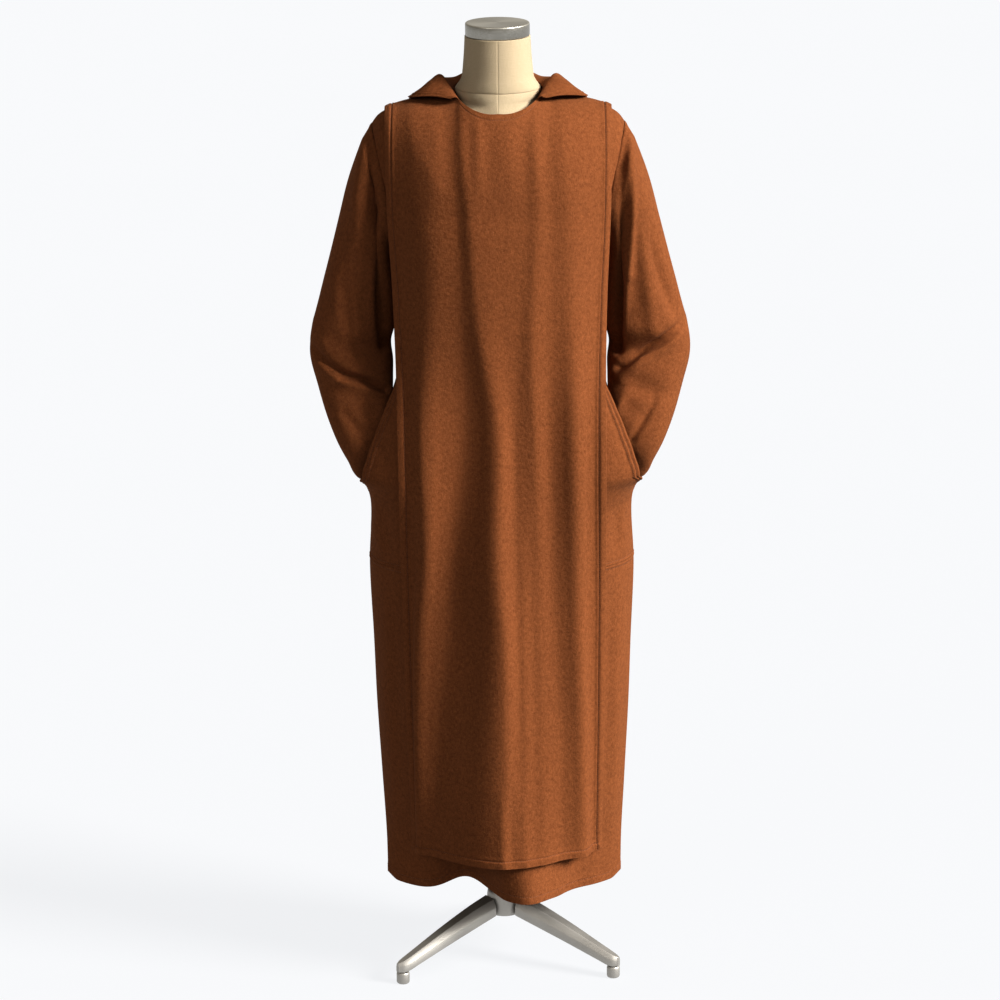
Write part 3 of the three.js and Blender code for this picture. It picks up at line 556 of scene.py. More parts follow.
def sleeve_ring(k, turn, side):
    s = SLEEVE(k)
    cosine = np.cos(turn)
    sine = np.sin(turn)
    across = spow(cosine, SLEEVE_ROUND)
    front = spow(sine, SLEEVE_ROUND)
    degrees = np.degrees(turn) % 360
    swell = np.zeros(np.broadcast(k, turn).shape)
    for f in SLEEVE_FOLDS:
        away = np.abs(degrees - f["turn"])
        away = np.minimum(away, 360 - away)
        swell = swell + f["high"] * bell(k - f["at"], f["along"]) * bell(away, f["round"])
    swell = swell * np.clip((k - 1) / 1.2, 0, 1) * np.clip((10.6 - k) / 1.2, 0, 1)
    half_x = (s["outX"] - s["inX"]) / 2
    half_z = (s["outZ"] - s["inZ"]) / 2
    grow = 1 + swell * np.abs(cosine) / np.hypot(half_x, half_z)
    x = (s["outX"] + s["inX"]) / 2 + half_x * across * grow
    z = (s["outZ"] + s["inZ"]) / 2 + half_z * across * grow
    y = s["mid"] - (s["deep"] + swell * np.abs(sine)) * front
    return points(side * x, y, z)


def sleeve(u, k, side):
    """A sleeve: u runs round it from the outer line, k from the armhole to the hidden end."""
    u, k = np.broadcast_arrays(np.asarray(u, float), np.asarray(k, float))
    turn = 2 * np.pi * u
    half = (turn % (2 * np.pi)) / np.pi
    frontal = half <= 1
    level = mix(ARMPIT_Z, YOKE_TOP, np.where(frontal, 1 - half, half - 1))
    rim = np.where(frontal[..., None], robe(side, level, -1), robe(side, level, 1))
    rim = rim + np.array([side * 0.5, 0, 0])
    ring = sleeve_ring(np.maximum(k, 1), turn, side)
    return np.where((k >= 1)[..., None], ring, mix(rim, ring, np.clip(k, 0, 1)[..., None]))


# Hood laid back: neck seam, ridge, under layer, turn at the bottom, upper layer, face edge
HOOD_ROWS = [
    [0.0, [67, -44, 1567], [68, -45, 1569], [71, -46, 1571], [74, -46.5, 1571], [77, -46, 1570],
     [80, -45, 1569]],
    [0.14, [72, -22, 1569], [81, -22, 1583], [90, -26, 1583], [99, -30, 1578], [106, -32, 1573],
     [112, -32, 1571]],
    [0.3, [76, 4, 1573], [97, 3, 1600], [112, -2, 1592], [126, -5, 1581], [138, -6, 1572],
     [148, -6, 1565]],
    [0.46, [74, 32, 1576], [93, 38, 1588], [116, 46, 1572], [137, 54, 1550], [148, 54, 1551],
     [150, 42, 1556]],
    [0.62, [58, 56, 1583], [76, 68, 1584], [110, 92, 1552], [138, 108, 1503], [146, 110, 1526],
     [141, 98, 1545]],
    [0.8, [32, 70, 1592], [46, 88, 1590], [78, 130, 1500], [96, 150, 1375], [100, 172, 1425],
     [93, 158, 1490]],
    [1.0, [0, 74, 1595], [0, 96, 1590], [0, 140, 1470], [0, 152, 1268], [0, 190, 1350], [0, 180, 1458]],
]


def hood_line(line, share):
    rows = [[row[0], *row[line + 1]] for row in HOOD_ROWS]
    p = table(["share", "x", "y", "z"], rows)(share)
    return points(np.maximum(p["x"], 0), p["y"], p["z"])


def hood(u, v):
    """The hood: u runs from one front end over the back to the other, v from the neck seam outwards."""
    u, v = np.broadcast_arrays(np.asarray(u, float), np.asarray(v, float))
    share = 1 - np.abs(u)
    lines = [hood_line(line, share) for line in range(6)]
    lines = [2 * lines[0] - lines[1], *lines, 2 * lines[5] - lines[4]]
    place = np.clip(v, 0, 1) * 5
    span = np.minimum(place.astype(int), 4)
    t = (place - span)[..., None]
    stack = np.stack(lines)
    rows, columns = np.indices(u.shape)
    p0, p1, p2, p3 = (stack[span + i, rows, columns] for i in range(4))
    gap0, gap1, gap2 = (
        np.maximum(np.sqrt(np.linalg.norm(b - a, axis=-1, keepdims=True)), 1e-3)
        for a, b in ((p0, p1), (p1, p2), (p2, p3))
    )
    leave = ((p1 - p0) / gap0 - (p2 - p0) / (gap0 + gap1) + (p2 - p1) / gap1) * gap1
    arrive = ((p2 - p1) / gap1 - (p3 - p1) / (gap1 + gap2) + (p3 - p2) / gap2) * gap1
    t2 = t * t
    t3 = t2 * t
    p = (2 * t3 - 3 * t2 + 1) * p1 + (t3 - 2 * t2 + t) * leave
    p = p + (3 * t2 - 2 * t3) * p2 + (t3 - t2) * arrive
    p[..., 0] *= np.where(u < 0, -1, 1)
    return p


# Pocket bag: side end and bend of each level; its front end is sewn behind the front panel
POCKET = table(
    ["z", "sideX", "sideY", "bendX", "bendY", "frontX"],
    [
        [785, 158, -68, 128, -96, 112],
        [820, 180, -42, 130, -80, 113],
        [860, 205, -22, 135, -64, 114],
        [892, 228, -24, 141, -56, 116],
        [920, 236, -14.5, 147, -50, 118],
        [955, 222.5, 1, 155, -46, 122],
        [1000, 201.5, 8.5, 160, -46, 126],
        [1050, 181, 6.5, 158, -54, 130],
        [1090, 172, 3.5, 152, -56, 129],
        [1118, 167.5, 1, 145, -46, 122],
    ],
)
BAG_SEWN = {-1: 5.9, 1: 6.5}


def pocket_bag(u, z, side):
    u, z = np.broadcast_arrays(np.asarray(u, float), np.asarray(z, float))
    p = POCKET(z)
    panel = FRONT(z)
    front_y = panel["seam"] - reach(panel, panel["seam"], p["frontX"]) + BAG_SEWN[side]
    one = (1 - u) * (1 - 2 * u)
    two = 4 * u * (1 - u)
    three = u * (2 * u - 1)
    x = one * p["sideX"] + two * p["bendX"] + three * p["frontX"]
    y = one * p["sideY"] + two * p["bendY"] + three * front_y
    return points(side * x, y, z)


# Places of rows and columns on the cloth
def places(length, step, start=(0,), end=(0,)):
    """Distances from 0 to length: the close rows of both ends and even steps between them."""
    first = start[-1]
    last = length - end[-1]
    count = max(2, round((last - first) / step))
    middle = np.linspace(first, last, count + 1)[1:-1]
    return np.array([*start, *middle, *(length - d for d in reversed(end))])


def panel_columns(surface, levels, step, edge, limit):
    """Column places of a panel: fixed distances from both side edges on every level."""
    fine = np.linspace(-limit, limit, 361)
    under = np.minimum(levels, YOKE_Z)
    spots = surface(fine[None, :], under[:, None])
    steps = np.linalg.norm(np.diff(spots, axis=1), axis=2)
    arcs = np.concatenate([np.zeros((len(levels), 1)), np.cumsum(steps, axis=1)], axis=1)
    count = len(places(arcs[:, -1].max(), step, edge, edge))
    inner = count - 2 * len(edge)
    u = np.empty((len(levels), count))
    for i, arc in enumerate(arcs):
        shares = np.linspace(edge[-1], arc[-1] - edge[-1], inner + 2)[1:-1]
        target = np.array([*edge, *shares, *(arc[-1] - d for d in reversed(edge))])
        u[i] = np.interp(target, arc, fine)
    for corner in (-NECK_SHARE, NECK_SHARE):
        j = np.argmin(np.abs(u[-1] - corner))
        u[:, j] += (corner - u[-1, j]) * np.clip((levels - 1330) / 60, 0, 1)
    return u


def lengths(grid, axis):
    steps = np.linalg.norm(np.diff(grid, axis=axis), axis=2)
    start = np.zeros_like(np.take(steps, [0], axis=axis))
    return np.concatenate([start, np.cumsum(steps, axis=axis)], axis=axis)


def facing_out(grid, behind, closed=False):
    """Unit normals of a grid of points, from its neighbours."""
    if closed:
        wide = np.concatenate([grid[:, -1:], grid, grid[:, :1]], axis=1)
        across = (wide[:, 2:] - wide[:, :-2]) / 2
    else:
        across = np.gradient(grid, axis=1)
    along = np.gradient(grid, axis=0)
    normal = np.cross(across, along) * behind
    return normal / np.maximum(np.linalg.norm(normal, axis=2, keepdims=True), 1e-9)


def raise_by(grid, behind, height, closed=False):
    return grid + facing_out(grid, behind, closed) * height[..., None]


def sewn_edge(distance, stitch=EDGE_STITCH, proud=2.2, groove=2.3):
    """Relief of a turned and stitched edge: a proud band, then the line where the thread pulls in."""
    band = proud * (1 - ease((distance - stitch - 1.2) / 3.5))
    return band - groove * bell(distance - stitch, 1.5)


def waist_relief(distance):
    """Relief beside the horizontal seam: the folded allowance, then the line of its thread."""
    return 0.9 * bell(distance - 2.5, 2.2) - 0.8 * bell(distance - WAIST_STITCH, 1.6)


def near_neck(u):
    """1 along the neckline and 0 along the shoulder."""
    return 1 - ease((np.abs(u) / NECK_SHARE - 0.97) / 0.04)


def new_object(name, mesh, material):
    mesh.materials.append(material)
    piece = bpy.data.objects.new(name, mesh)
    bpy.context.scene.collection.objects.link(piece)
    return piece


def in_frame(spots):
    """Garment millimetres to metres of the whole object."""
    return (spots + np.array([0, FRAME_Y, 0])) * MM


def mesh_of(name, spots, faces, material, uv=None):
    """A smooth mesh in the frame, with its faces turned outwards."""
    spots = in_frame(spots)
    faces = np.asarray(faces)
    a, b, c, d = (spots[faces[:, i]] for i in range(4))
    volume = np.einsum("ij,ij->", a, np.cross(b, c)) + np.einsum("ij,ij->", a, np.cross(c, d))
    if volume < 0:
        faces = faces[:, ::-1]
    mesh = bpy.data.meshes.new(name)
    mesh.from_pydata(spots.tolist(), [], faces.tolist())
    mesh.shade_smooth()
    if uv is not None:
        layer = mesh.uv_layers.new(name="cloth")
        corners = np.empty(len(mesh.loops), dtype=np.int32)
        mesh.loops.foreach_get("vertex_index", corners)
        layer.data.foreach_set("uv", uv[corners].astype(np.float32).ravel())
    return new_object(name, mesh, material)


def shell(name, grid, material, behind, closed=False, thick=CLOTH):
    """A cloth wall: the outer face, the inner face one thickness behind it, and rounded rims."""
    rows, columns = grid.shape[:2]
    normal = facing_out(grid, behind, closed)
    inner = grid - normal * thick
    count = rows * columns
    index = np.arange(count).reshape(rows, columns)
    right = np.roll(index, -1, axis=1) if closed else index[:, 1:]
    left = index if closed else index[:, :-1]
    quads = np.stack([left[:-1], right[:-1], right[1:], left[1:]], axis=-1).reshape(-1, 4)
    faces = [quads, quads[:, ::-1] + count]
    spots = [grid.reshape(-1, 3), inner.reshape(-1, 3)]
    across = lengths(grid, 1)
    along = lengths(grid, 0)
    across = across - across[:, columns // 2][:, None]
    uv = np.stack([across, along], axis=-1).reshape(-1, 2) * MM
    flat = [uv, uv]
    total = 2 * count

    def rim(edge, beside, backwards, ring):
        nonlocal total
        outer = grid.reshape(-1, 3)[edge]
        under = inner.reshape(-1, 3)[edge]
        away = outer - grid.reshape(-1, 3)[beside]
        away /= np.maximum(np.linalg.norm(away, axis=1, keepdims=True), 1e-9)
        spots.append((outer + under) / 2 + away * thick * 0.3)
        flat.append(uv[edge])
        middle = total + np.arange(len(edge))
        total += len(edge)
        pairs = [(edge, middle), (middle, edge + count)]
        for near, far in pairs:
            a, b = (near, np.roll(near, -1)) if ring else (near[:-1], near[1:])
            d, c = (far, np.roll(far, -1)) if ring else (far[:-1], far[1:])
            quad = np.stack([a, b, c, d], axis=-1)
            faces.append(quad if backwards else quad[:, ::-1])
        return middle

    low = rim(index[0], index[1], False, closed)
    high = rim(index[-1], index[-2], True, closed)
    if not closed:
        start = rim(index[:, 0], index[:, 1], True, False)
        end = rim(index[:, -1], index[:, -2], False, False)
        corners = (
            (index[0, 0], low[0], start[0], False),
            (index[0, -1], low[-1], end[0], True),
            (index[-1, 0], high[0], start[-1], True),
            (index[-1, -1], high[-1], end[-1], False),
        )
        for corner, one, two, flip in corners:
            quad = np.array([[corner, one, corner + count, two]])
            faces.append(quad[:, ::-1] if flip else quad)
    return mesh_of(name, np.concatenate(spots), np.concatenate(faces), material, np.concatenate(flat))


# Shader maths
class Value:
    """A socket of a finish's nodes, on which sums can be written as Python expressions."""

    def __init__(self, paint, socket):
        self.paint = paint
        self.socket = socket

    def sum(self, operation, first, second):
        return self.paint.node("ShaderNodeMath", {"operation": operation}, first, second)

    def __add__(self, other):
        return self.sum("ADD", self, other)

    def __radd__(self, other):
        return self.sum("ADD", other, self)

    def __mul__(self, other):
        return self.sum("MULTIPLY", self, other)

    def __rmul__(self, other):
        return self.sum("MULTIPLY", other, self)


class Paint:
    """A finish in the making, for a material or for the studio round the object."""

    def __init__(self, owner):
        self.owner = owner
        owner.use_nodes = True
        self.tree = owner.node_tree
        self.tree.nodes.clear()

    def put(self, value, socket):
        if isinstance(value, Value):
            self.tree.links.new(value.socket, socket)
        elif socket.type == "RGBA" and len(value) == 3:
            socket.default_value = (*value, 1)
        else:
            socket.default_value = value

    def node(self, kind, settings, *values, output=0, **named):
        """One output of a new node: first its settings, then its sockets by place or name."""
        node = self.tree.nodes.new(kind)
        for key, value in settings.items():
            setattr(node, key, value)
        for key, value in [*enumerate(values), *named.items()]:
            if value is not None:
                self.put(value, node.inputs[key.replace("_", " ") if isinstance(key, str) else key])
        return Value(self, node.outputs[output]) if node.outputs else None

    def object_place(self):
        return self.node("ShaderNodeTexCoord", {}, output="Object")

    def cloth_place(self):
        return self.node("ShaderNodeTexCoord", {}, output="UV")

    def stretched(self, place, scale, turn=(0, 0, 0)):
        return self.node("ShaderNodeMapping", {}, Vector=place, Scale=scale, Rotation=turn)

    def noise(self, place, scale, detail=2.0, roughness=0.5):
        sockets = {"Scale": scale, "Detail": detail, "Roughness": roughness}
        return self.node("ShaderNodeTexNoise", {}, Vector=place, **sockets)

    def spread(self, value, low, high):
        return self.node("ShaderNodeMapRange", {"clamp": True}, value, From_Min=low, From_Max=high)

    def blend(self, factor, first, second):
        skipped = [None] * 5
        settings = {"data_type": "RGBA", "blend_type": "MIX"}
        return self.node("ShaderNodeMix", settings, factor, *skipped, first, second, output=2)

    def waves(self, place, scale, direction="X"):
        settings = {"wave_type": "BANDS", "bands_direction": direction, "wave_profile": "SIN"}
        return self.node("ShaderNodeTexWave", settings, Vector=place, Scale=scale)

    def bump(self, height, distance, strength=1.0, normal=None):
        sockets = {"Strength": strength, "Distance": distance, "Height": height, "Normal": normal}
        return self.node("ShaderNodeBump", {}, **sockets)

    def finish(self, color, roughness, normal, **constants):
        sockets = {"Base Color": color, "Roughness": roughness, "Normal": normal, **constants}
        shader = self.node("ShaderNodeBsdfPrincipled", {}, **sockets)
        self.node("ShaderNodeOutputMaterial", {}, shader)
        return self.owner


def new_paint(name):
    return Paint(bpy.data.materials.new(name))


def wool_cloth():
    """Brown heathered wool flannel with a soft nap."""
    paint = new_paint("brown_wool")
    place = paint.object_place()
    cloth = paint.cloth_place()
    fleck = paint.noise(place, 820, 2, 0.6)
    cloud = paint.noise(place, 170, 3, 0.6)
    worn = paint.noise(place, 9, 3, 0.55)
    streak = paint.noise(paint.stretched(cloth, (500, 130, 1)), 1.0, 2, 0.5)
    twill = paint.waves(paint.stretched(cloth, (1, 1, 1), (0, 0, 0.9)), 210)
    tone = 0.42 * fleck + 0.36 * cloud + 0.22 * streak
    deep_brown = (0.120, 0.0370, 0.0115)
    light_brown = (0.285, 0.099, 0.0350)
    pale_fibre = (0.38, 0.165, 0.072)
    rubbed_brown = (0.185, 0.063, 0.023)
    color = paint.blend(paint.spread(tone, 0.34, 0.66), deep_brown, light_brown)
    color = paint.blend(paint.spread(fleck, 0.60, 0.78) * 0.4, color, pale_fibre)
    color = paint.blend(paint.spread(worn, 0.3, 0.75) * 0.22, color, rubbed_brown)
    nap = fleck * 0.7 + twill * 0.3
    rough = 0.82 + cloud * 0.15
    normal = paint.bump(cloud, 0.0016, 0.55)
    normal = paint.bump(nap, 0.0007, 0.7, normal)
    nap_sheen = {"Sheen_Weight": 0.08, "Sheen_Roughness": 0.45, "Sheen_Tint": (0.9, 0.5, 0.3)}
    return paint.finish(color, rough, normal, **nap_sheen, Specular_IOR_Level=0.06)


def wool_thread():
    """Thread of the stitches, a shade darker than the cloth."""
    paint = new_paint("brown_thread")
    place = paint.object_place()
    ply = paint.noise(place, 1500, 2, 0.5)
    deep_thread = (0.10, 0.033, 0.012)
    light_thread = (0.27, 0.10, 0.04)
    color = paint.blend(ply, deep_thread, light_thread)
    return paint.finish(color, 0.6 + ply * 0.2, paint.bump(ply, 0.0002, 0.5))


def linen_cover():
    """Cream linen of the dress form: plain weave with slubs."""
    paint = new_paint("cream_linen")
    cloth = paint.cloth_place()
    place = paint.object_place()
    warp = paint.waves(cloth, 330, "X")
    weft = paint.waves(cloth, 330, "Y")
    slub = paint.noise(paint.stretched(cloth, (60, 900, 1)), 1.0, 2, 0.6)
    slub_down = paint.noise(paint.stretched(cloth, (900, 60, 1)), 1.0, 2, 0.6)
    cloud = paint.noise(place, 45, 3, 0.55)
    weave = warp * 0.25 + weft * 0.25 + slub * 0.25 + slub_down * 0.25
    between_threads = (0.40, 0.315, 0.195)
    cream = (0.57, 0.465, 0.32)
    aged_cream = (0.46, 0.37, 0.24)
    color = paint.blend(paint.spread(weave, 0.3, 0.7), between_threads, cream)
    color = paint.blend(paint.spread(cloud, 0.35, 0.7) * 0.25, color, aged_cream)
    return paint.finish(color, 0.88 + slub * 0.08, paint.bump(weave, 0.0005, 0.5), Sheen_Weight=0.1)


def brushed_steel():
    """Steel of the neck cap, brushed from side to side, with a painted highlight: its upward lid is
    coloured paler than the side for the light it catches.
    """
    paint = new_paint("brushed_steel_cap")
    place = paint.object_place()
    lines = paint.noise(paint.stretched(place, (9, 500, 500)), 1.0, 3, 0.6)
    smudge = paint.noise(place, 30, 2, 0.5)
    height = paint.node("ShaderNodeSeparateXYZ", {}, place, output="Z")
    rim = paint.blend(lines, (0.21, 0.20, 0.17), (0.42, 0.405, 0.37))
    # Painted highlight: the lid gets a paler steel colour than the side, standing in for the light its
    # upward face catches.
    lid_painted_light = paint.blend(lines, (0.39, 0.37, 0.32), (0.55, 0.53, 0.47))
    lid_low = (CAP_TOP_Z - 2.4) * MM
    lid_high = (CAP_TOP_Z - 1.2) * MM
    color = paint.blend(paint.spread(height, lid_low, lid_high), rim, lid_painted_light)
    rough = 0.26 + lines * 0.14 + smudge * 0.08
    return paint.finish(color, rough, paint.bump(lines, 0.0001, 0.4), Metallic=1.0, Anisotropic=0.4)


def satin_aluminium():
    """Cast aluminium of the stand, satin with a fine grain."""
    paint = new_paint("satin_aluminium")
    place = paint.object_place()
    grain = paint.noise(place, 900, 3, 0.6)
    patch = paint.noise(place, 26, 3, 0.5)
    dull_grey = (0.34, 0.325, 0.30)
    bright_grey = (0.46, 0.445, 0.415)
    color = paint.blend(patch, dull_grey, bright_grey)
    rough = 0.44 + grain * 0.12 + patch * 0.12
    return paint.finish(color, rough, paint.bump(grain, 0.00012, 0.5), Metallic=1.0)


def studio_floor():
    """Pale floor that lights itself evenly and gives little light back to the object."""
    paint = new_paint("pale_floor")
    place = paint.object_place()
    tone = paint.noise(place, 0.7, 2, 0.5)
    color = paint.blend(tone, (0.055, 0.055, 0.056), (0.06, 0.06, 0.061))
    diffuse = paint.node("ShaderNodeLightPath", {}, output="Is Diffuse Ray")
    glow_seen = (0.93, 0.94, 0.958)
    glow_on_object = (0.20, 0.19, 0.18)
    glow = {"Emission_Color": paint.blend(diffuse, glow_seen, glow_on_object), "Emission_Strength": 0.93}
    return paint.finish(color, 0.95, None, Specular_IOR_Level=0.0, **glow)


WOOL = wool_cloth()
THREAD = wool_thread()
LINEN = linen_cover()
STEEL = brushed_steel()
ALUMINIUM = satin_aluminium()


# Stitches: a tree that lays short threads along the edges of a mesh line
def stitch_tree(material):
    tree = bpy.data.node_groups.new("stitches", "GeometryNodeTree")
    sockets = tree.interface
    sockets.new_socket("Geometry", in_out="INPUT", socket_type="NodeSocketGeometry")
    for name in ("Pitch", "Length", "Thread"):
        sockets.new_socket(name, in_out="INPUT", socket_type="NodeSocketFloat")
    sockets.new_socket("Geometry", in_out="OUTPUT", socket_type="NodeSocketGeometry")
    nodes = tree.nodes
    start = nodes.new("NodeGroupInput")
    end = nodes.new("NodeGroupOutput")
    line = nodes.new("GeometryNodeMeshToCurve")
    spaced = nodes.new("GeometryNodeResampleCurve")
    spaced.mode = "LENGTH"
    thread = nodes.new("GeometryNodeMeshUVSphere")
    thread.inputs["Segments"].default_value = 6
    thread.inputs["Rings"].default_value = 5
    thread.inputs["Radius"].default_value = 1.0
    tangent = nodes.new("GeometryNodeInputTangent")
    turn = nodes.new("FunctionNodeAlignRotationToVector")
    turn.axis = "Z"
    size = nodes.new("ShaderNodeCombineXYZ")
    lay = nodes.new("GeometryNodeInstanceOnPoints")
    real = nodes.new("GeometryNodeRealizeInstances")
    paint = nodes.new("GeometryNodeSetMaterial")
    paint.inputs["Material"].default_value = material
    wiring = (
        (start, "Geometry", line, "Mesh"),
        (line, "Curve", spaced, "Curve"),
        (start, "Pitch", spaced, "Length"),
        (tangent, "Tangent", turn, "Vector"),
        (start, "Thread", size, "X"),
        (start, "Thread", size, "Y"),
        (start, "Length", size, "Z"),
        (spaced, "Curve", lay, "Points"),
        (thread, "Mesh", lay, "Instance"),
        (turn, "Rotation", lay, "Rotation"),
        (size, "Vector", lay, "Scale"),
        (lay, "Instances", real, "Geometry"),
        (real, "Geometry", paint, "Geometry"),
        (paint, "Geometry", end, "Geometry"),
    )
    for giver, out, taker, into in wiring:
        tree.links.new(giver.outputs[out], taker.inputs[into])
    return tree


STITCH_TREE = stitch_tree(THREAD)


def stitches(name, lines):
    """Threads of a row of stitches along each line of points."""
    sizes = {"Pitch": STITCH_PITCH, "Length": 1.5, "Thread": 0.5}
    spots = []
    edges = []
    for line in lines:
        first = len(spots)
        spots.extend(in_frame(line).tolist())
        edges.extend((first + i, first + i + 1) for i in range(len(line) - 1))
    mesh = bpy.data.meshes.new(name + "_line")
    mesh.from_pydata(spots, edges, [])
    holder = bpy.data.objects.new(name + "_line", mesh)
    bpy.context.scene.collection.objects.link(holder)
    modifier = holder.modifiers.new("stitches", "NODES")
    modifier.node_group = STITCH_TREE
    for item in STITCH_TREE.interface.items_tree:
        if item.in_out == "INPUT" and item.name in sizes:
            modifier[item.identifier] = sizes[item.name] * MM
    bpy.context.view_layer.update()
    seen = holder.evaluated_get(bpy.context.evaluated_depsgraph_get())
    made = bpy.data.meshes.new_from_object(seen)
    bpy.data.objects.remove(holder)
    made.shade_smooth()
    made.materials.clear()
    piece = new_object(name, made, THREAD)
    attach(piece, "root")
    return piece


def across_line(grid, behind, distance, from_end, rows=None):
    """Line of points at a fixed distance from a side edge of a panel, lifted by half a thread."""
    arcs = lengths(grid, 1)
    target = arcs[:, -1] - distance if from_end else np.full(len(arcs), distance)
    lifted = raise_by(grid, behind, np.full(grid.shape[:2], 0.2))
    rows_of_cloth = zip(target, arcs, lifted)
    line = np.array([[np.interp(t, arc, row[:, c]) for c in range(3)] for t, arc, row in rows_of_cloth])
    return line if rows is None else line[rows]


def along_line(grid, behind, distance, from_top, columns=None):
    """Line of points at a fixed distance from the top or the bottom edge of a panel."""
    line = across_line(np.swapaxes(grid, 0, 1), -behind, distance, from_top)
    return line if columns is None else line[columns]


def stand_for(piece, node):
    """The piece takes the place of one solid and its finish."""
    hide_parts(node)
    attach(piece, "root")


def worn_cloth(piece, node):
    stand_for(piece, node)


# Robe
SIDE_LIMIT = 1 - 0.0024
skirt_levels = HEM_Z + places(WAIST_SEAM_Z - SEAM_GAP / 2 - HEM_Z, 5.2, HEM_STEPS, WAIST_STEPS)


def robe_front(u, level):
    return robe(u, level, -1)


def robe_back(u, level):
    return robe(u, level, 1)


def under_scapular(spots):
    """The front of the robe lies a little deeper where the scapular presses on it."""
    deep = 8
    z = spots[..., 2]
    covered = 1 - ease((np.abs(spots[..., 0]) - 135) / 28)
    above_hem = ease((z - 255) / 70)
    below_yoke = 1 - ease((z - 1300) / 90)
    return deep * covered * above_hem * below_yoke


u = panel_columns(robe_front, skirt_levels, 5.0, SEAM_STEPS, SIDE_LIMIT)
skirt = robe_front(u, skirt_levels[:, None])
height = crease(skirt, ROBE_FRONT_CREASES)
from_hem = lengths(skirt, 0)
height += sewn_edge(from_hem, ROBE_HEM_STITCH, 0.7, 0.8) + waist_relief(from_hem[-1] - from_hem)
skirt = raise_by(skirt, 1, height - under_scapular(skirt))
lines = [along_line(skirt, 1, ROBE_HEM_STITCH, False), along_line(skirt, 1, WAIST_STITCH, True)]
skirt_stitching = stitches("robe_skirt_stitching", lines)
piece = shell("robe_skirt_cloth", skirt, WOOL, 1)
worn_cloth(piece, "robe_front_skirt")

chest_levels = WAIST_SEAM_Z + SEAM_GAP / 2 + places(YOKE_Z - WAIST_SEAM_Z, 5.0, WAIST_STEPS, [0])
yoke_levels = YOKE_Z + places(YOKE_RUN, 2.4, [2.0], NECK_STEPS)
front_levels = np.concatenate([chest_levels, yoke_levels])
u = panel_columns(robe_front, front_levels, 5.0, PATCH_STEPS, SIDE_LIMIT)
upper = robe_front(u, front_levels[:, None])
height = crease(upper, ROBE_FRONT_CREASES)
from_low = lengths(upper, 0)
height += waist_relief(from_low)
arcs = lengths(upper, 1)
side_distance = np.minimum(arcs, arcs[:, -1:] - arcs)
level = upper[..., 2]
pocket = ease((level - POCKET_MOUTH_LOW) / 26) * (1 - ease((level - POCKET_MOUTH_HIGH) / 20))
edge_row, inner_row = POCKET_STITCHES
height += pocket * (1.6 * bell(side_distance - 3.6, 2.2) + 1.6 * bell(side_distance - 12, 2.2))
height -= pocket * (0.7 * bell(side_distance - edge_row, 1.6) + 0.9 * bell(side_distance - inner_row, 2.0))
from_top = from_low[-1] - from_low
height += near_neck(u) * (ease(level / 1500) * sewn_edge(from_top, NECK_STITCH, 0.5, 0.6))
upper = raise_by(upper, 1, height - under_scapular(upper))
pocket_rows = (front_levels > POCKET_MOUTH_LOW - 6) & (front_levels < POCKET_MOUTH_HIGH)
lines = [along_line(upper, 1, WAIST_STITCH, False)]
for from_end in (False, True):
    for distance in POCKET_STITCHES:
        lines.append(across_line(upper, 1, distance, from_end, pocket_rows))
upper_stitching = stitches("robe_front_stitching", lines)
piece = shell("robe_front_cloth", upper, WOOL, 1)
worn_cloth(piece, "robe_front_upper")

back_below = HEM_Z + places(YOKE_Z - HEM_Z, 7.0, HEM_STEPS, [0])
back_above = YOKE_Z + places(YOKE_RUN, 3.2, [2.0], [0, 1, 3, 5])
back_levels = np.concatenate([back_below, back_above])
u = panel_columns(robe_back, back_levels, 6.5, SEAM_STEPS, SIDE_LIMIT)
back = robe_back(u, back_levels[:, None])
inner_part = 1 - ease((np.abs(u) - 0.8) / 0.18)
height = waves(back, ROBE_BACK_WAVES) * inner_part
height += sewn_edge(lengths(back, 0), ROBE_HEM_STITCH, 0.7, 0.8)
back = raise_by(back, -1, height)
back_stitching = stitches("robe_back_stitching", [along_line(back, -1, ROBE_HEM_STITCH, False)])
piece = shell("robe_back_cloth", back, WOOL, -1)
worn_cloth(piece, "robe_back")


# Scapular
def scapular_panel(facing, waves_rows, creases, step, yoke_step):
    """One strip of the scapular with its waves and sewn edges, and the lines of its stitches."""
    below = SCAPULAR_HEM_Z + places(YOKE_Z - SCAPULAR_HEM_Z, step, HEM_STEPS, [0])
    above = YOKE_Z + places(YOKE_RUN, yoke_step, [2.0], NECK_STEPS)
    levels = np.concatenate([below, above])

    def surface(u, level):
        return scapular(u, level, facing)

    u = panel_columns(surface, levels, step, HEM_STEPS, 1)
    grid = surface(u, levels[:, None])
    arcs = lengths(grid, 1)
    side = np.minimum(arcs, arcs[:, -1:] - arcs)
    down = lengths(grid, 0)
    from_top = down[-1] - down
    swell = waves(grid, waves_rows)
    chest = ease((grid[..., 2] - 950) / 350)
    strength = np.where(swell > 0, mix(2.1, 0.65, chest), mix(1.35, 0.6, chest))
    height = strength * swell + crease(grid, creases)
    if facing < 0:
        height += waves(grid, NECK_RIPPLES) * ease(from_top / 20)
    height *= ease((side - 1) / 22) * 0.85 + 0.15
    height *= ease(from_top / 30)
    height += sewn_edge(side) + sewn_edge(down, SCAPULAR_HEM_STITCH)
    height += near_neck(u) * sewn_edge(from_top, NECK_STITCH, 0.6, 0.9)
    grid = raise_by(grid, -facing, height)
    neck = np.abs(u[-1]) < NECK_SHARE * 0.96
    lines = [
        across_line(grid, -facing, EDGE_STITCH, False),
        across_line(grid, -facing, EDGE_STITCH, True),
        along_line(grid, -facing, SCAPULAR_HEM_STITCH, False)[8:-8],
        along_line(grid, -facing, NECK_STITCH, True, neck),
    ]
    return grid, lines


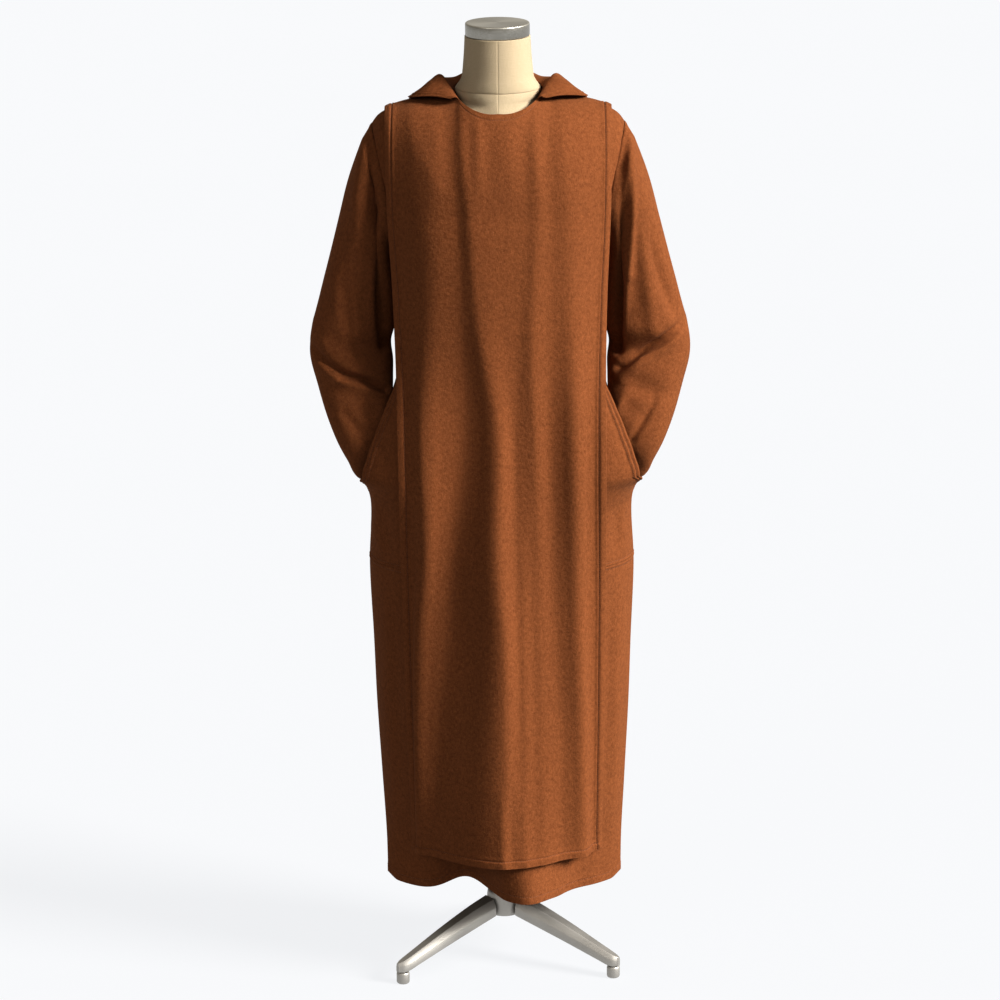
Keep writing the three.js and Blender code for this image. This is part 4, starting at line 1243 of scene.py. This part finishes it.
front_scapular, lines = scapular_panel(-1, SCAPULAR_FRONT_WAVES, SCAPULAR_FRONT_CREASES, 4.4, 2.3)
front_scapular_stitching = stitches("scapular_front_stitching", lines)
piece = shell("scapular_front_cloth", front_scapular, WOOL, 1)
worn_cloth(piece, "scapular_front")
back_scapular, lines = scapular_panel(1, SCAPULAR_BACK_WAVES, [], 6.0, 3.0)
back_scapular_stitching = stitches("scapular_back_stitching", lines)
piece = shell("scapular_back_cloth", back_scapular, WOOL, -1)
worn_cloth(piece, "scapular_back")

# Sleeves and pocket bags
ARMHOLE_STATIONS = [0, 0.03, 0.07, 0.12, 0.18, 0.25, 0.35, 0.5, 0.65, 0.8, 0.9]
SLEEVE_STATIONS = np.concatenate([ARMHOLE_STATIONS, places(SLEEVE_END - 1, 0.1) + 1])
AROUND = 128
SLEEVE_CREASE_STRENGTH = 1.7
for side, label in ((-1, "left"), (1, "right")):
    turns = np.arange(AROUND) / AROUND
    grid = sleeve(turns[None, :], SLEEVE_STATIONS[:, None], side)
    normal = facing_out(grid, side, True)
    frontal = ease(0.25 - normal[..., 1] * 1.6)
    rear = ease(0.25 + normal[..., 1] * 1.6)
    fade = ease((SLEEVE_STATIONS - 0.35) / 0.6) * (1 - ease((SLEEVE_STATIONS - 10.6) / 1.4))
    own = LEFT_SLEEVE_CREASES if side < 0 else RIGHT_SLEEVE_CREASES
    mirrored = grid * np.array([side, 1, 1])
    height = SLEEVE_CREASE_STRENGTH * crease(grid, own) * frontal
    height = height + crease(mirrored, SLEEVE_BACK_CREASES) * rear
    height = height * fade[:, None]
    from_armhole = lengths(grid, 0)
    height += 0.8 * bell(from_armhole - 5, 3.5)
    grid = raise_by(grid, side, height, True)
    piece = shell("sleeve_" + label + "_cloth", grid, WOOL, side, True)
    worn_cloth(piece, "sleeve_" + label)
    bag = pocket_bag(places(1, 0.05)[None, :], places(BAG_HIGH - BAG_LOW, 6.0)[:, None] + BAG_LOW, side)
    piece = shell("pocket_bag_" + label + "_cloth", bag, WOOL, side, thick=BAG_CLOTH)
    worn_cloth(piece, "pocket_bag_" + label)

# Hood
hood_u = np.concatenate([-places(1, 0.016)[::-1][:-1], places(1, 0.016)])
hood_v = places(1, 0.0125, [0], [0, 0.004, 0.010, 0.018, 0.026, 0.032, 0.040])
grid = hood(hood_u[None, :], hood_v[:, None])
turned = lengths(grid, 0)
from_edge = turned[-1] - turned
share = 1 - np.abs(hood_u)[None, :]
soft = 2.2 * np.sin(share * 21 + hood_v[:, None] * 3) * ease(share * 3 - 0.9) * ease(hood_v[:, None] * 3)
height = soft * ease(1 - np.abs(hood_v[:, None] - 0.6))
height += sewn_edge(from_edge, HOOD_STITCH, 0.6, 0.8) * ease(share / 0.2)
grid = raise_by(grid, -1, height)
hood_stitching = stitches("hood_stitching", [along_line(grid, -1, HOOD_STITCH, True, slice(14, -14))])
piece = shell("hood_cloth", grid, WOOL, -1)
worn_cloth(piece, "hood")

# Dress form
FORM = table(
    ["z", "half", "front", "back", "round"],
    [
        [905, 128, 96, 92, 2.1],
        [960, 146, 106, 98, 2.1],
        [1020, 148, 110, 99, 2.1],
        [1100, 144, 108, 94, 2.1],
        [1180, 138, 106, 92, 2.1],
        [1260, 144, 112, 98, 2.1],
        [1340, 156, 114, 106, 2.2],
        [1400, 168, 113, 108, 2.2],
        [1450, 176, 107, 104, 2.1],
        [1490, 176, 95, 94, 1.9],
        [1515, 168, 83, 86, 1.65],
        [1532, 150, 76, 80, 1.5],
        [1545, 120, 73, 76, 1.45],
        [1553, 85, 69, 70.5, 1.5],
        [1560, 68.5, 65.5, 66.5, 1.75],
        [1567, 69.5, 63.5, 64.5, 1.9],
        [1577, 73, 61, 63, 1.8],
        [1581, 72, 60.6, 62, 1.8],
        [1587, 67.5, 60.2, 61, 1.9],
        [1594, 62.5, 59.6, 60, 2.0],
        [1604, 60.2, 58.6, 59.2, 2.0],
        [1640, 57, 57, 57, 2.0],
        [1667.6, 55.5, 55.5, 55.5, 2.0],
    ],
)


def shrunk(ring, share):
    middle = ring.mean(axis=0)
    return middle + (ring - middle) * share


def closed_loft(name, grid, material):
    """A closed body from rings of points, with its two ends filled by fans of quads."""
    first = [shrunk(grid[0], share) for share in END_SHARES]
    last = [shrunk(grid[-1], share) for share in reversed(END_SHARES)]
    full = np.stack([*first, *grid, *last])
    rows, columns = full.shape[:2]
    index = np.arange(rows * columns).reshape(rows, columns)
    right = np.roll(index, -1, axis=1)
    quads = np.stack([index[:-1], right[:-1], right[1:], index[1:]], axis=-1).reshape(-1, 4)
    around = lengths(full, 1)
    along = lengths(full, 0)
    uv = np.stack([around, along], axis=-1).reshape(-1, 2) * MM
    half = columns // 2
    ends = []
    for ring, flip in ((index[0], False), (index[-1], True)):
        near = (ring[: half - 1], ring[1:half])
        far = (ring[columns - 2 : half - 1 : -1], ring[columns - 1 : half : -1])
        quad = np.stack([*near, *far], axis=-1)
        ends.append(quad if flip else quad[:, ::-1])
    return mesh_of(name, full.reshape(-1, 3), np.concatenate([quads, *ends]), material, uv)


def form_rings(levels, degrees, groove):
    """Rings of the dress form, with the groove of its seams cut in."""
    z = levels[:, None]
    s = FORM(z)
    turn = np.radians(degrees)[None, :]
    c = np.cos(turn)
    x = s["half"] * spow(np.sin(turn), 2 / s["round"])
    y = -np.where(c > 0, s["front"], s["back"]) * spow(c, 2 / s["round"])
    inwards = 1 - groove / np.maximum(np.hypot(x, y), 1)
    return points(x * inwards, y * inwards + 2, z)


side_degrees = np.concatenate([[-0.6, 0, 0.6, 1.4, 2.6], np.arange(5, 356, 3.5), [357.4, 358.6]])
if len(side_degrees) % 2:
    side_degrees = np.append(side_degrees, 359.1)
centre = 0.45 * bell((side_degrees + 180) % 360 - 180, 0.9)[None, :]
below_seam = NECK_SEAM_Z - 0.2
above_seam = NECK_SEAM_Z + 0.2
shoulder_levels = [1564, 1568, 1572, 1574.5, 1576.2, 1577.2, below_seam]
torso_levels = np.concatenate([FORM_BASE_Z + places(655, 9.0), shoulder_levels])
seam = 0.6 * bell(torso_levels - below_seam, 1.3)[:, None]
torso = closed_loft("form_torso_cover", form_rings(torso_levels, side_degrees, centre + seam), LINEN)
collar_levels = [above_seam, 1578.8, 1579.8, 1581.5, 1584, 1590]
neck_levels = np.array([*collar_levels, *np.arange(1597, 1662, 6), 1663, 1666, 1667.5])
seam = 0.6 * bell(neck_levels - above_seam, 1.3)[:, None]
neck = closed_loft("form_neck_cover", form_rings(neck_levels, side_degrees, centre + seam), LINEN)
stand_for(torso, "form_torso")
stand_for(neck, "form_neck")


# Metal parts
def turned_part(name, profile, centre, material, segments=96):
    """A body turned round a standing axis from its radius and height list."""
    turn = np.arange(segments) / segments * 2 * np.pi
    radius = np.array(profile, float)[:, 0][:, None]
    z = np.array(profile, float)[:, 1][:, None]
    grid = points(centre[0] + radius * np.cos(turn), centre[1] + radius * np.sin(turn), z)
    piece = closed_loft(name, grid, material)
    piece.data.set_sharp_from_angle(angle=math.radians(34))
    return piece


cap = turned_part(
    "neck_cap_disc",
    [
        [CAP_R - 2.4, CAP_BASE_Z], [CAP_R - 0.7, CAP_BASE_Z + 0.3], [CAP_R, CAP_BASE_Z + 1.4],
        [CAP_R, CAP_TOP_Z - 2.4], [CAP_R - 0.3, CAP_TOP_Z - 1.3], [CAP_R - 1.1, CAP_TOP_Z - 0.4],
        [CAP_R - 2.3, CAP_TOP_Z],
    ],
    (0, 2),
    STEEL,
)
stand_for(cap, "neck_cap")
column = turned_part(
    "stand_column",
    [
        [26.9, 132.4], [27.5, 133.2], [27.4, 140], [26.5, 180], [25.2, 240], [24, 300], [22.9, 390],
        [22, 458], [21.4, 463.5], [20.2, 467.5], [18.8, 470.6], [17, 472],
    ],
    (0, 0),
    ALUMINIUM,
)
stand_for(column, "column")
hub = turned_part(
    "stand_hub",
    [
        [26, 88], [28.6, 88.5], [30.4, 90], [31, 93], [31.1, 101], [31.1, 112], [31, 122], [30, 128.4],
        [28.6, 131.2], [27.4, 132],
    ],
    (0, 0),
    ALUMINIUM,
)
stand_for(hub, "hub")

# Leg: half width, half width of the ridge, underside, side face top, ridge height over the radius
LEG = table(
    ["r", "half", "shoulder", "low", "step", "top"],
    [
        [LEG_START, 21, 13, 90, 108, 121],
        [70, 19, 11.5, 76, 95, 108],
        [130, 16, 9.5, 54, 72, 83],
        [190, 13, 7.5, 31, 47, 55],
        [212, 12, 6.5, 23, 38, 45],
        [226, 8, 4, 22, 34, 39],
    ],
)


def stand_leg(label, angle):
    """A leg of the stand: a tapering bar with a raised ridge, rounded off over its foot."""
    direction = np.array([math.cos(math.radians(angle)), math.sin(math.radians(angle)), 0])
    across = np.array([-direction[1], direction[0], 0])
    tip_stations = [197, 204, 211, 216, 220, 223.5, 225.4, 226]
    stations = np.concatenate([LEG_START + places(190 - LEG_START, 8.0), tip_stations])
    rings = []
    for r in stations:
        s = {key: float(value) for key, value in LEG(r).items()}
        tip = 1 - 0.45 * ease((r - 219) / 7.5)
        half = s["half"] * tip
        shoulder = s["shoulder"] * tip
        low = s["low"]
        step = s["step"]
        top = s["top"]
        right = [
            (half * 0.8, low),
            (half * 0.96, low + 1.2),
            (half, low + 3.4),
            (half, step - 1.6),
            (half - 0.7, step),
            (shoulder + 1.0, top - 1.4),
            (shoulder - 0.6, top - 0.2),
        ]
        outline = [(-half * 0.8, low), *right, *((-w, z) for w, z in reversed(right[1:]))]
        rings.append([direction * r + across * w + np.array([0, 0, z]) for w, z in outline])
    piece = closed_loft("stand_leg_" + label, np.array(rings), ALUMINIUM)
    piece.data.set_sharp_from_angle(angle=math.radians(30))
    stand_for(piece, "leg_" + label)


for label, angle in LEG_ANGLES.items():
    stand_leg(label, angle)
    x = (FOOT_RADIUS - 3) * math.cos(math.radians(angle))
    y = (FOOT_RADIUS - 3) * math.sin(math.radians(angle))
    foot = turned_part(
        "stand_foot_" + label,
        [
            [7.5, 0], [9.4, 0.4], [10.8, 1.5], [11.5, 3.4], [11.5, 17.5], [11.1, 19.6], [10.2, 21],
            [9, 21.5],
        ],
        (x, y),
        ALUMINIUM,
        48,
    )
    stand_for(foot, "foot_" + label)
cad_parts["pole"].data.materials.clear()
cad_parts["pole"].data.materials.append(ALUMINIUM)

# Floor, light and camera
floor_mesh = bpy.data.meshes.new("studio_floor")
floor_mesh.from_pydata([(-30, -14, 0), (30, -14, 0), (30, 46, 0), (-30, 46, 0)], [], [(0, 1, 2, 3)])
new_object("studio_floor", floor_mesh, studio_floor())

studio = Paint(bpy.data.worlds.new("studio"))
around = studio.node("ShaderNodeTexCoord", {}, output="Generated")
sideways = studio.node("ShaderNodeSeparateXYZ", {}, around, output="X")
dim_side = (0.42, 0.38, 0.32)
bright_side = (1.0, 0.98, 0.95)
tint = studio.blend(studio.spread(sideways, -0.9, 0.9), dim_side, bright_side)
diffuse = studio.node("ShaderNodeLightPath", {}, output="Is Diffuse Ray")
strength = studio.node("ShaderNodeMapRange", {}, diffuse, To_Min=0.85, To_Max=0.27)
background = studio.node("ShaderNodeBackground", {}, tint, strength)
studio.node("ShaderNodeOutputWorld", {}, background)
bpy.context.scene.world = studio.owner


LIT_HEIGHT = 0.9


def sun(name, place, energy, color, spread):
    """A sun that shines from a place towards the middle of the garment."""
    data = bpy.data.lights.new(name, "SUN")
    data.energy = energy
    data.color = color
    data.angle = math.radians(spread)
    lamp = bpy.data.objects.new(name, data)
    bpy.context.scene.collection.objects.link(lamp)
    place = np.array(place, float)
    away = place - np.array([0, 0, LIT_HEIGHT])
    away /= np.linalg.norm(away)
    right = np.cross([0, 0, 1], away)
    right /= np.linalg.norm(right)
    up = np.cross(away, right)
    turn = np.stack([right, up, away], axis=1)
    lamp.matrix_world = Matrix([*([*row, p] for row, p in zip(turn, place)), [0, 0, 0, 1]])


sun("key_sun", (4.0, -1.65, 3.45), 7.7, (1.0, 0.98, 0.95), 20)
sun("fill", (-2.3, -3.4, 3.3), 0.42, (1.0, 0.97, 0.93), 26)
bpy.context.scene.view_settings.view_transform = "Standard"
bpy.context.scene.view_settings.gamma = 0.87

CAMERA_SIDE = -0.0022
CAMERA_BACK = -7.0 + FRAME_Y * MM
CAMERA_HEIGHT = 2.9
CAMERA_DOWN = math.radians(16.3)
CAMERA_ROLL = math.radians(-0.475)
CAMERA_LENS = 151.1
camera_data = bpy.data.cameras.new("photograph_view")
camera_data.sensor_width = 36
camera_data.lens = CAMERA_LENS
camera_data.clip_end = 200
camera = bpy.data.objects.new("photograph_view", camera_data)
bpy.context.scene.collection.objects.link(camera)
camera.matrix_world = (
    Matrix.Translation((CAMERA_SIDE, CAMERA_BACK, CAMERA_HEIGHT))
    @ Matrix.Rotation(math.pi / 2 - CAMERA_DOWN, 4, "X")
    @ Matrix.Rotation(CAMERA_ROLL, 4, "Z")
)
bpy.context.scene.camera = camera
